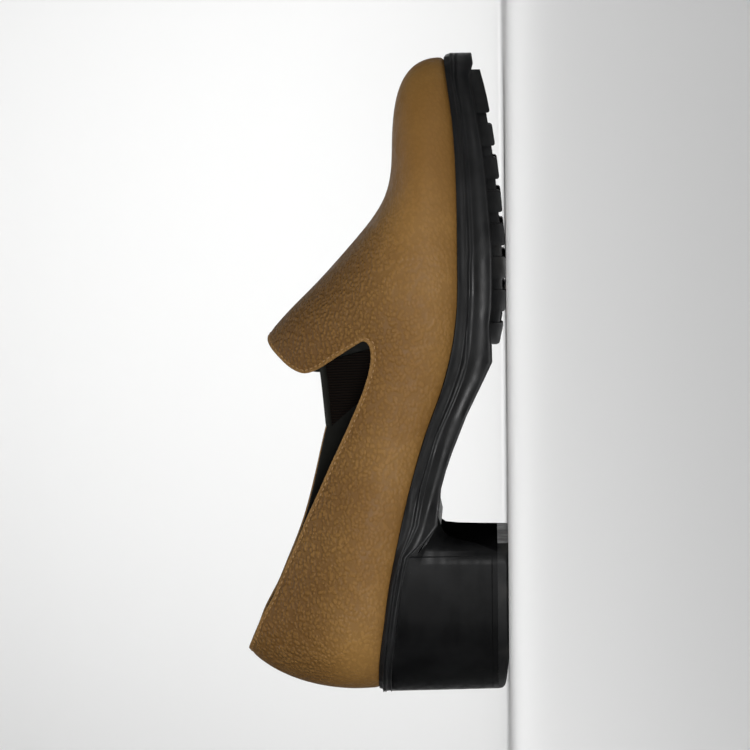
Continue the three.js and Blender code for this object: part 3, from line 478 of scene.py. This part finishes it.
def heel_plastic():
    finish = Finish("heel_plastic", (0.004, 0.0041, 0.0043), 0.36)
    scratch = finish.noise(300, 2, finish.stretched((0.15, 1.0, 1.0)))
    low = finish.ramp(finish.axis("Z"), 0.0, SCUFF_TOP, 1.0, 0.0)
    rear = finish.ramp(finish.axis("X"), SCUFF_REAR, SCUFF_FRONT, 1.0, 0.0)
    scuff = finish.ramp(finish.noise(420, 5), 0.6, 0.72)
    where = finish.maths("MULTIPLY", finish.maths("MULTIPLY", low, rear), scuff)
    cloud = finish.ramp(finish.noise(70, 3), 0.4, 0.7)
    base = finish.mix(cloud, (0.0032, 0.0033, 0.0035), (0.0062, 0.0063, 0.0066))
    finish.set("Base Color", finish.mix(where, base, (0.11, 0.1, 0.09)))
    finish.set("Roughness", finish.ramp(scratch, 0.3, 0.7, 0.3, 0.46))
    finish.set("Specular IOR Level", 0.16)
    finish.set("Specular Tint", (0.45, 0.45, 0.45, 1))
    fine = finish.bump(finish.noise(900, 3), 0.03 * MM, 0.5)
    front_bar = finish.ramp(finish.axis("X"), FRAME_FRONT - FRAME_WIDTH, FRAME_FRONT)
    lower_bar = finish.ramp(finish.axis("Z"), FRAME_FOOT + FRAME_WIDTH, FRAME_FOOT)
    frame_relief = finish.maths("MAXIMUM", front_bar, lower_bar)
    finish.set("Normal", finish.bump(frame_relief, 0.3 * MM, 0.6, fine))
    return finish.material


def heel_breast():
    finish = Finish("heel_breast", (0.004, 0.004, 0.0042), 0.85)
    finish.set("Specular IOR Level", 0.0)
    finish.set("Normal", finish.bump(finish.noise(700, 3), 0.05 * MM, 0.5))
    return finish.material


rubber = black_rubber()
plastic = heel_plastic()
breast_face = heel_breast()
print("made", rubber.name, plastic.name, breast_face.name)

# %% [markdown]
# ## Upper
# The leather upper is one wall, and its mesh is a regular net: lines run from the feather line up to the
# topline outside, over the edge, down inside and back underneath. Every square of the net was cut in two
# for the CAD file. A generic joiner guesses some squares wrong on such a slanted net, and each wrong one
# would show as a dent. So the net is walked instead: from the line at the toe, each next line follows, and
# the cuts between are dissolved.


# %% Walk the net of the upper
WELD = 0.01 * MM          # vertices nearer than this are one
ON_PLANE = 0.02 * MM      # a vertex this near to a plane lies on it


def toe_line(bm):
    """The closed line of the net in the middle of the toe: up the outside, then down the inside."""
    on_line = {v for v in bm.verts if abs(v.co.y) < ON_PLANE and v.co.x > middle.x}
    lowest = sorted(on_line, key=lambda v: v.co.z)[:2]
    inner_foot, outer_foot = sorted(lowest, key=lambda v: v.co.x)
    line = [inner_foot, outer_foot]
    while len(line) < len(on_line):
        around = [e.other_vert(line[-1]) for e in line[-1].link_edges]
        line.append(next(v for v in around if v in on_line and v is not line[-2] and v not in line))
    return line[1:] + line[:1]


def next_line(bm, line, behind):
    """The neighbour of each vertex on the following line, and the cuts between the two lines."""
    half = len(line) // 2
    partner = {}
    cuts = []
    for i, first in enumerate(line):
        second = line[(i + 1) % len(line)]
        corners = [v for f in bm.edges.get((first, second)).link_faces for v in f.verts]
        third = next(v for v in corners if v not in (first, second) and v not in behind)
        kept, other = (second, first) if i < half else (first, second)
        partner[kept] = third
        cuts.append(bm.edges.get((other, third)))
    corner = bm.edges.get((line[0], partner[line[1]]))
    beyond = [v for f in corner.link_faces for v in f.verts]
    partner[line[0]] = next(v for v in beyond if v not in (line[0], line[1], partner[line[1]]))
    return [partner[v] for v in line], cuts


upper_bm = bmesh.new()
upper_bm.from_mesh(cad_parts["upper"].data)
bmesh.ops.remove_doubles(upper_bm, verts=upper_bm.verts, dist=WELD)
lines = [toe_line(upper_bm)]
all_cuts = []
left_behind = {v for v in upper_bm.verts if v.co.y < 0}
while True:
    following, cuts = next_line(upper_bm, lines[-1], left_behind)
    all_cuts += cuts
    if following[0] is lines[0][0]:
        break
    left_behind = set(lines[-1])
    lines.append(following)
bmesh.ops.dissolve_edges(upper_bm, edges=all_cuts, use_verts=False)
print("lines of the net:", len(lines), "squares:", len(upper_bm.faces))

# %% [markdown]
# Leather is folded over the lining at the topline, so its edges are rounded with a bevel before the
# subdivision surface smooths the rest. The outer face, the folded edge and the lining get their own
# material numbers first.

# %% Materials, rounded edges and smoothing
OUTSIDE, INSIDE, FOLD = 0, 1, 2
EDGE_ROUND = 0.55 * MM

half = len(lines[0]) // 2
outer_verts = {v for line in lines for v in line[:half]}
inner_verts = {v for line in lines for v in line[half:]}
for face in upper_bm.faces:
    corners = set(face.verts)
    if corners <= outer_verts:
        face.material_index = OUTSIDE
    elif corners <= inner_verts:
        face.material_index = INSIDE
    elif corners & {line[0] for line in lines}:
        face.material_index = INSIDE
    else:
        face.material_index = FOLD


def ring_edges(place):
    """The edges that join the same place of all the lines into a ring."""
    return [upper_bm.edges.get((line[place], lines[i - 1][place])) for i, line in enumerate(lines)]


round_edges = ring_edges(half - 1) + ring_edges(half)
topline_corners = [(line[half - 1].co + line[half].co) / 2 for line in lines]
outer_lines = [[v.co.copy() for v in reversed(line[:half])] for line in lines]
bmesh.ops.bevel(
    upper_bm, geom=round_edges, offset=EDGE_ROUND, affect="EDGES", segments=2, profile=0.5, material=-1)
upper_bm = subdivided(upper_bm, 2)
bmesh.ops.recalc_face_normals(upper_bm, faces=upper_bm.faces)
print("smooth upper:", len(upper_bm.faces), "faces")

# %% [markdown]
# The middle of the folded strip is the topline. It is kept as one closed path, because the stitches, the
# dent that they pull and the lighter fold all follow it at their own distances. Between the lines of the
# net the path is rounded with a spline, and lengths along it are measured so that stitches can be spaced
# evenly.


# %% The topline as a path
def rounded_path(points, parts):
    """A closed path through the points, with the parts between two of them rounded by a cubic spline."""
    path = []
    for i, here in enumerate(points):
        before, ahead = points[i - 1], points[(i + 1) % len(points)]
        beyond = points[(i + 2) % len(points)]
        for k in range(parts):
            u = k / parts
            leave, arrive = (ahead - before) / 2, (beyond - here) / 2
            path.append(
                here * (2 * u**3 - 3 * u**2 + 1) + leave * (u**3 - 2 * u**2 + u)
                + ahead * (3 * u**2 - 2 * u**3) + arrive * (u**3 - u**2))
    return path


def evenly_spaced(path, pitch):
    """Points along a closed path at about one pitch from each other, with the direction at each."""
    lengths = [0.0]
    for i, here in enumerate(path):
        lengths.append(lengths[-1] + (path[(i + 1) % len(path)] - here).length)
    count = round(lengths[-1] / pitch)
    placed = []
    i = 0
    for k in range(count):
        wanted = lengths[-1] * k / count
        while lengths[i + 1] < wanted:
            i += 1
        here, ahead = path[i], path[(i + 1) % len(path)]
        share = (wanted - lengths[i]) / (lengths[i + 1] - lengths[i])
        placed.append((here.lerp(ahead, share), (ahead - here).normalized()))
    return placed


class Path:
    """Distances to a closed path."""

    def __init__(self, points):
        self.points = points
        self.tree = kdtree.KDTree(len(points))
        for i, point in enumerate(points):
            self.tree.insert(point, i)
        self.tree.balance()

    def distance(self, place):
        _, i, _ = self.tree.find(place)
        here, ahead = self.points[i], self.points[(i + 1) % len(self.points)]
        return min(distance_to_span(place, self.points[i - 1], here), distance_to_span(place, here, ahead))


TINY = 1e-12              # a span without length counts as this, squared


def distance_to_span(place, start, end):
    along = end - start
    share = held((place - start).dot(along) / max(along.length_squared, TINY))
    return (place - start - along * share).length


PATH_PARTS = 8            # of the rounded path, between two lines of the net

topline = Path(rounded_path(topline_corners, PATH_PARTS))
topline_length = sum((a - b).length for a, b in zip(topline.points, topline.points[1:]))
print("topline, mm:", round(topline_length / MM))

# %% [markdown]
# Along the topline the stitches pull a shallow dent into the leather. Where the foot bends, soft creases
# cross the vamp at its sides, each a trough with a low ridge along it. Both are small moves of the vertices
# along their normals, so they are there in the mesh itself and catch the light from any side.

# %% Creases and stitch dent
STITCH_BELOW = 1.6 * MM   # from the edge down the outside to the row of stitches
HALF_WALL = 1.0 * MM
STITCH_IN = math.hypot(STITCH_BELOW, HALF_WALL)
DENT_DEPTH = 0.22 * MM
DENT_WIDTH = 0.9 * MM
RIDGE_HEIGHT = 0.45       # as a share of the trough's depth
RIDGE_AWAY = 1.7          # from the middle of the trough, in widths
CREASES = [
    {"from": (128, -34, 45), "to": (146, -12, 49), "depth": 0.5, "width": 3.4},
    {"from": (137, -37, 36), "to": (151, -20, 44), "depth": 0.42, "width": 3.0},
    {"from": (118, -38, 37), "to": (131, -28, 52), "depth": 0.35, "width": 3.2},
    {"from": (140, 22, 44), "to": (128, 34, 36), "depth": 0.4, "width": 3.2},
    {"from": (150, 16, 42), "to": (140, 33, 32), "depth": 0.3, "width": 3.0},
    {"from": (96, -39, 33), "to": (108, -35, 47), "depth": 0.3, "width": 4.0},
]


def crease_move(place):
    """How far a point sinks into the creases near it."""
    move = 0.0
    for crease in CREASES:
        start, end = Vector(crease["from"]) * MM, Vector(crease["to"]) * MM
        along = end - start
        share = held((place - start).dot(along) / along.length_squared)
        taper = 1 - (2 * share - 1) ** 2
        away = (place - start - along * share).length / (crease["width"] * MM)
        trough = math.exp(-(away**2))
        ridge = RIDGE_HEIGHT * math.exp(-((away - RIDGE_AWAY) ** 2))
        move += crease["depth"] * MM * taper * (trough - ridge)
    return move


outer_skin = {v for f in upper_bm.faces if f.material_index == OUTSIDE for v in f.verts}
upper_bm.normal_update()
moves = {}
for v in outer_skin:
    sink = crease_move(v.co)
    from_edge = topline.distance(v.co)
    sink += DENT_DEPTH * math.exp(-(((from_edge - STITCH_IN) / DENT_WIDTH) ** 2))
    moves[v] = -sink * v.normal
for v, move in moves.items():
    v.co += move
print("deepest dent or crease, mm:", round(max(move.length for move in moves.values()) / MM, 2))

# %% [markdown]
# The two quarters meet at the back in a closed seam, a narrow furrow that runs in a slight S. The net is
# too coarse for it there, so the faces near it are cut along a few lines first. Then their vertices sink,
# and last they are shifted to the side, all by less the further they are from the seam.

# %% Back seam
SEAM_DEPTH = 0.45 * MM
SEAM_WIDTH = 0.6 * MM
SEAM_WANDER = 0.7 * MM
SEAM_FOOT = 45 * MM       # height of its lower end
SEAM_LENGTH = 55 * MM
SEAM_CUTS = (-1.6, -0.8, 0, 0.8, 1.6)  # lines added for the furrow, in widths from its middle
BACK = -20 * MM           # what lies behind this is the back of the shoe
NEAR_SEAM = 4 * MM
FURROW_REACH = 3 * MM
WANDER_REACH = 2 * MM


def seam_wander(z):
    """How far the seam lies to the side at a height."""
    return SEAM_WANDER * math.sin((z - SEAM_FOOT) / SEAM_LENGTH * 2 * math.pi)


for cut in SEAM_CUTS:
    near = [f for f in upper_bm.faces if f.material_index == OUTSIDE and f.calc_center_median().x < BACK]
    near = [f for f in near if abs(f.calc_center_median().y) < NEAR_SEAM]
    parts = near + list({e for f in near for e in f.edges}) + list({v for f in near for v in f.verts})
    bmesh.ops.bisect_plane(
        upper_bm, geom=parts, plane_co=(0, cut * SEAM_WIDTH, 0), plane_no=(0, 1, 0), dist=ON_PLANE)
upper_bm.normal_update()
furrow = [v for v in upper_bm.verts if v.co.x < BACK and abs(v.co.y) < FURROW_REACH]
furrow = [v for v in furrow if all(f.material_index == OUTSIDE for f in v.link_faces)]
for v in furrow:
    v.co -= v.normal * SEAM_DEPTH * math.exp(-((v.co.y / SEAM_WIDTH) ** 2))
for v in furrow:
    v.co.y += seam_wander(v.co.z) * math.exp(-((v.co.y / WANDER_REACH) ** 2))
print("vertices in the back seam:", len(furrow))

# %% [markdown]
# The grain's depth and the lighter fold are stored on the mesh as attributes, which the leather's material
# reads. The hide is pulled tight over the toe and along the feather line, so its grain is nearly flat
# there. On the tab and near the topline it is loose and deep. The material also darkens the hide by the
# same value, as painted shade on the upper parts of the shoe.

# %% Grain and fold attributes
FOLD_BRIGHT = 0.9 * MM    # the edge is lightest up to here
FOLD_FADES = 1.95 * MM    # and as dark as the rest from here on
FEATHER_BACK = Vector((-41, 0, 50)) * MM  # where the upper meets the sole, at the heel and at the ball
FEATHER_BALL = Vector((100, 0, 20)) * MM
GRAIN_FADES = 100 * MM    # from here towards the toe the grain gets flatter
GRAIN_FLAT = 200 * MM     # and from here on it is flattest
GRAIN_LOW = 6 * MM        # above the feather line the grain starts to deepen
GRAIN_HIGH = 42 * MM      # and here it is deepest
TOE_GRAIN = 0.16          # the depth on the toe, as a share of the full depth
LOW_GRAIN = 0.16          # what is added off the toe
TALL_GRAIN = 0.68         # and what is added there high up
FOLD_TURNS = 0.3          # a strip of the fold that turns further away than this shows the lining


def smooth_step(value, low, high):
    share = held((value - low) / (high - low))
    return share * share * (3 - 2 * share)


def grain_depth_and_shade(place):
    """From nearly flat on the toe and along the feather line to deep on the tab and by the collar. The same
    value sets the leather's painted shade.
    """
    off_toe = 1 - smooth_step(place.x, GRAIN_FADES, GRAIN_FLAT)
    share = held((place.x - FEATHER_BACK.x) / (FEATHER_BALL.x - FEATHER_BACK.x))
    feather = FEATHER_BACK.lerp(FEATHER_BALL, share).z
    above = smooth_step(place.z - feather, GRAIN_LOW, GRAIN_HIGH)
    return TOE_GRAIN + off_toe * (LOW_GRAIN + TALL_GRAIN * above)


grain = upper_bm.verts.layers.float.new("grain")
fold = upper_bm.verts.layers.float.new("folded_edge")
for v in upper_bm.verts:
    v[grain] = grain_depth_and_shade(v.co)
    v[fold] = 1 - smooth_step(topline.distance(v.co), FOLD_BRIGHT, FOLD_FADES)
skin_tree = BVHTree.FromBMesh(upper_bm)
outer_faces = [f for f in upper_bm.faces if f.material_index == OUTSIDE]
outer_tree = kdtree.KDTree(len(outer_faces))
for i, f in enumerate(outer_faces):
    outer_tree.insert(f.calc_center_median(), i)
outer_tree.balance()
for f in upper_bm.faces:
    if f.material_index == FOLD:
        _, nearest, _ = outer_tree.find(f.calc_center_median())
        if f.normal.dot(outer_faces[nearest].normal) < FOLD_TURNS:
            f.material_index = INSIDE
add_piece("leather_upper", upper_bm, [leather, lining, leather], ["upper"])

# %% [markdown]
# ## Stitches
# One row of golden thread runs round the whole topline and down into both notches. Each stitch is a short
# bead that lies along the row and sinks a little into the leather. All of them are copies of one low
# sphere, joined in one mesh.

# %% Stitches along the topline
STITCH_PITCH = 2.3 * MM
STITCH_PARTS = 6          # of the stitches' path, between two lines of the net
STITCH_SIZE = Vector((1.5, 0.5, 0.36)) * MM
STITCH_PROUD = 0.05 * MM  # how far its middle stands off the leather
MOST_LEAN = 0.55          # a line of the net never counts as more slanted than this


def stitch_guide(distance):
    """A point on each line of the net that lies a distance below the topline, measured square to it."""
    guide = []
    for i, line in enumerate(outer_lines):
        along = (topline_corners[(i + 1) % len(lines)] - topline_corners[i - 1]).normalized()
        lean = max(MOST_LEAN, (line[1] - line[0]).normalized().cross(along).length)
        left = distance / lean
        for here, below in zip(line, line[1:]):
            step = (below - here).length
            if left <= step:
                guide.append(here.lerp(below, left / step))
                break
            left -= step
    return guide


def add_bead(bm, place, along, normal, size):
    """A small flattened bead with its length along a direction and its back to the surface."""
    across = normal.cross(along).normalized()
    along = across.cross(normal).normalized()
    turn = Matrix((along, across, normal)).transposed().to_4x4()
    turn.translation = place
    grow = Matrix.Diagonal((*(size / 2), 1))
    bmesh.ops.create_uvsphere(bm, u_segments=8, v_segments=5, radius=1, matrix=turn @ grow)


stitch_bm = bmesh.new()
row = evenly_spaced(rounded_path(stitch_guide(STITCH_BELOW), STITCH_PARTS), STITCH_PITCH)
for place, along in row:
    spot, normal, _, _ = skin_tree.find_nearest(place)
    add_bead(stitch_bm, spot + normal * STITCH_PROUD, along, normal, STITCH_SIZE)
add_piece("topline_stitches", stitch_bm, [thread])
print("stitches:", len(row))

# %% [markdown]
# ## Smoothed copies of solids
# A CAD solid comes in as loose triangles. For the soft pieces a copy of it is merged into a closed mesh,
# and its pairs of triangles are joined back into four-sided faces, because the subdivision surface is
# smooth only on those. A bevel rounds the sharp edges first, so that they stay narrow when the rest is
# smoothed.


# %% Smoothed copies of solids
SHARP_DEGREES = 50        # an edge whose faces turn by more than this is sharp
PAIR_TURN = math.radians(60)  # two triangles that turn by more than this stay apart
PAIR_SKEW = math.radians(70)  # so do two whose face would be more slanted than this


def merged_copy(node):
    """A bmesh of a CAD node's solid, closed and with quads where they fit."""
    bm = bmesh.new()
    bm.from_mesh(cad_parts[node].data)
    bmesh.ops.remove_doubles(bm, verts=bm.verts, dist=WELD)
    bmesh.ops.join_triangles(
        bm, faces=bm.faces, angle_face_threshold=PAIR_TURN, angle_shape_threshold=PAIR_SKEW)
    return bm


def sharp_edges(bm, degrees):
    """The edges where two faces meet at more than an angle."""
    return [e for e in bm.edges if len(e.link_faces) == 2 and e.calc_face_angle(0) > math.radians(degrees)]


def smoothed_copy(node, edge_round, levels):
    """A solid's merged copy with its sharp edges rounded and its faces smoothed."""
    bm = merged_copy(node)
    rounds = sharp_edges(bm, SHARP_DEGREES)
    bmesh.ops.bevel(
        bm, geom=rounds, offset=edge_round, affect="EDGES", segments=2, profile=0.5, material=-1,
        clamp_overlap=True)
    bm = subdivided(bm, levels)
    bmesh.ops.recalc_face_normals(bm, faces=bm.faces)
    return bm


# %% [markdown]
# ## Gusset and binding
# The gusset is a small panel of woven elastic behind the notch on the inner side. Its copy is smoothed, and
# its ribs are in the material. The binding along its top is a folded strip, the upper's leather outside and
# the lining inside. It is lowered a little, so that it laps over the gusset's top edge.

# %% Gusset and binding
GUSSET_ROUND = 0.25 * MM
BINDING_ROUND = 0.4 * MM
BINDING_DROP = 0.45 * MM
LOOKS_DOWN = -0.3         # a vertex with a lower normal than this is on the binding's lower side
LOOKS_OUT = 0.25          # a face with a normal further out than this is on its outer side

add_piece(
    "elastic_panel", smoothed_copy("elastic_gore", GUSSET_ROUND, 2), [elastic], ["elastic_gore"])
binding_bm = smoothed_copy("gore_binding", BINDING_ROUND, 2)
low_side = [v for v in binding_bm.verts if v.normal.z < LOOKS_DOWN]
bmesh.ops.translate(binding_bm, verts=low_side, vec=(0, 0, -BINDING_DROP))
binding_bm.normal_update()
for f in binding_bm.faces:
    f.material_index = 0 if f.normal.y > LOOKS_OUT else 1
for layer, value in (("grain", 0.2), ("folded_edge", 0.8)):
    values = binding_bm.verts.layers.float.new(layer)
    for v in binding_bm.verts:
        v[values] = value
add_piece("folded_binding", binding_bm, [leather, lining], ["gore_binding"])

# %% [markdown]
# ## Footbed and pads
# A cover of thin dark leather lies over the footbed, cupped a little at its edge. Under the heel it has an
# oval foam pad, and on the inner side a long pad for the arch.

# %% Footbed and heel pad
COVER_ROUND = 0.4 * MM
PAD_ROUND = 0.2 * MM

footbed_bm = smoothed_copy("insole", COVER_ROUND, 1)
add_piece("footbed_cover", footbed_bm, [footbed_leather], ["insole"])
heel_pad_bm = smoothed_copy("heel_pad", PAD_ROUND, 2)
heel_cushion = add_piece("heel_cushion", heel_pad_bm, [footbed_leather], ["heel_pad"])

# %% [markdown]
# The pad for the arch has a few round holes. They could be painted on in the material, but from near by a
# hole shows its wall, so each is drilled: a short cylinder stands square to the pad's top, and a Boolean
# takes all the cylinders away at once.


# %% Perforated pad
HOLE_RADIUS = 0.8 * MM
HOLE_DEEP = 1.0 * MM
HOLE_SIDES = 12
DRILL_START = 10 * MM     # above the pad, where the search for its top starts
# A hole's place along the pad is a share of its length, from the end at the heel, and its place across is a
# share of its width, from the inner side.
PAD_HOLES = [
    {"along": 0.27, "across": 0.36},
    {"along": 0.39, "across": 0.55},
    {"along": 0.56, "across": 0.25},
    {"along": 0.60, "across": 0.74},
    {"along": 0.74, "across": 0.27},
    {"along": 0.80, "across": 0.66},
    {"along": 0.91, "across": 0.43},
]


def cut_out(bm, drills):
    """The difference of two closed bmeshes, as a new bmesh."""
    holder, drill_holder = holder_of(bm), holder_of(drills)
    modifier = holder.modifiers.new("cut", "BOOLEAN")
    modifier.operation = "DIFFERENCE"
    modifier.solver = "EXACT"
    modifier.object = drill_holder
    return after_modifiers(holder, drill_holder)


def pierced(bm, holes):
    """The piece with small blind holes cut into its top."""
    low = Vector([min(v.co[k] for v in bm.verts) for k in range(3)])
    high = Vector([max(v.co[k] for v in bm.verts) for k in range(3)])
    tree = BVHTree.FromBMesh(bm)
    drills = bmesh.new()
    for hole in holes:
        x = low.x + (high.x - low.x) * hole["along"]
        y = high.y - (high.y - low.y) * hole["across"]
        top, normal, _, _ = tree.ray_cast(Vector((x, y, high.z + DRILL_START)), Vector((0, 0, -1)))
        if top is None:
            continue
        turn = normal.to_track_quat("Z", "Y").to_matrix().to_4x4()
        turn.translation = top
        bmesh.ops.create_cone(
            drills, segments=HOLE_SIDES, radius1=HOLE_RADIUS, radius2=HOLE_RADIUS, depth=2 * HOLE_DEEP,
            cap_ends=True, matrix=turn)
    return cut_out(bm, drills)


arch_pad_bm = pierced(smoothed_copy("arch_pad", PAD_ROUND, 2), PAD_HOLES)
arch_cushion = add_piece("arch_cushion", arch_pad_bm, [footbed_leather], ["arch_pad"])

# %% [markdown]
# ## Moulded pieces
# Sole, heel and wearing piece are mouldings with flat faces and clear edges, so smoothing would spoil them.
# The triangles of each flat face are dissolved into one, and only real edges stay sharp. The solids are
# about 0.3 mm apart, as CAD parts are, and the real pieces are glued. So each top is lifted until that gap
# is closed.


# %% Helpers for moulded pieces
LOOKS_UP = 0.7            # a face with a higher normal than this may belong to a top
LARGE_FACE = 20 * MM * MM
SHARP_TURN = math.radians(38)  # an edge that turns by more than this is drawn sharp


def moulded_copy(node, flat):
    """A solid's merged copy. Faces that turn by less than flat degrees are made one."""
    bm = bmesh.new()
    bm.from_mesh(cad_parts[node].data)
    bmesh.ops.remove_doubles(bm, verts=bm.verts, dist=WELD)
    bmesh.ops.dissolve_limit(
        bm, angle_limit=math.radians(flat), use_dissolve_boundaries=False, verts=bm.verts, edges=bm.edges)
    return bm


def lift_top(bm, by):
    """Moves the top of a piece up against what it carries."""
    bm.normal_update()
    tops = [f for f in bm.faces if f.normal.z > LOOKS_UP and f.calc_area() > LARGE_FACE]
    for v in {v for f in tops for v in f.verts}:
        v.co.z += by


# %% [markdown]
# ## Sole
# The sole is one moulding with a ribbed side and lugs below. The edges of its lugs that lie across the shoe
# are worn round, which shows from the side, so just these edges get a bevel. The lip of the sole stands up
# a little round the foot of the upper.

# %% Moulded sole
SOLE_FLAT = 2.0           # degrees
LIP_RISE = 0.75 * MM
LUG_ROUND = 1.1 * MM
LUG_ZONE_TOP = 9 * MM
LUG_ZONE_REAR = 90 * MM
LUG_EDGE_MIN = 2.5 * MM   # shorter edges stay sharp
LUG_EDGE_ACROSS = 0.8     # so do edges of which a smaller share of the length lies across the shoe

sole_bm = moulded_copy("outsole", SOLE_FLAT)
lift_top(sole_bm, LIP_RISE)
sole_bm.normal_update()
lug_edges = []
for e in sole_bm.edges:
    low = max(v.co.z for v in e.verts) < LUG_ZONE_TOP and min(v.co.x for v in e.verts) > LUG_ZONE_REAR
    along = e.verts[1].co - e.verts[0].co
    across = along.length > LUG_EDGE_MIN and abs(along.y) > LUG_EDGE_ACROSS * along.length
    if low and across and e.is_convex and e.calc_face_angle(0) > math.radians(SHARP_DEGREES):
        lug_edges.append(e)
bmesh.ops.bevel(
    sole_bm, geom=lug_edges, offset=LUG_ROUND, offset_type="OFFSET", affect="EDGES", segments=3, profile=0.5,
    material=-1)
print("rounded edges of the lugs:", len(lug_edges), "faces:", len(sole_bm.faces))
sole = add_piece("moulded_sole", sole_bm, [rubber], ["outsole"])
sole.data.set_sharp_from_angle(angle=SHARP_TURN)

# %% [markdown]
# ## Heel and wearing piece
# The heel block is hard plastic. Its breast has a finish of its own, so the faces that look to the toe get
# the second material. The wearing piece under it is a slice of the sole's rubber.

# %% Block heel and wearing piece
HEEL_FLAT = 0.5           # degrees
HEEL_CLOSE_UP = 0.38 * MM
LIFT_CLOSE_UP = 0.29 * MM
BREAST_LEAN = 0.6         # a face that looks this much towards the toe belongs to the breast

heel_bm = moulded_copy("heel_block", HEEL_FLAT)
lift_top(heel_bm, HEEL_CLOSE_UP)
heel_bm.normal_update()
for f in heel_bm.faces:
    f.material_index = 1 if f.normal.x > BREAST_LEAN else 0
heel = add_piece("block_heel", heel_bm, [plastic, breast_face], ["heel_block"])
heel.data.set_sharp_from_angle(angle=SHARP_TURN)
lift_bm = moulded_copy("top_lift", HEEL_FLAT)
lift_top(lift_bm, LIFT_CLOSE_UP)
wearing_piece = add_piece("wearing_piece", lift_bm, [rubber], ["top_lift"])
wearing_piece.data.set_sharp_from_angle(angle=SHARP_TURN)
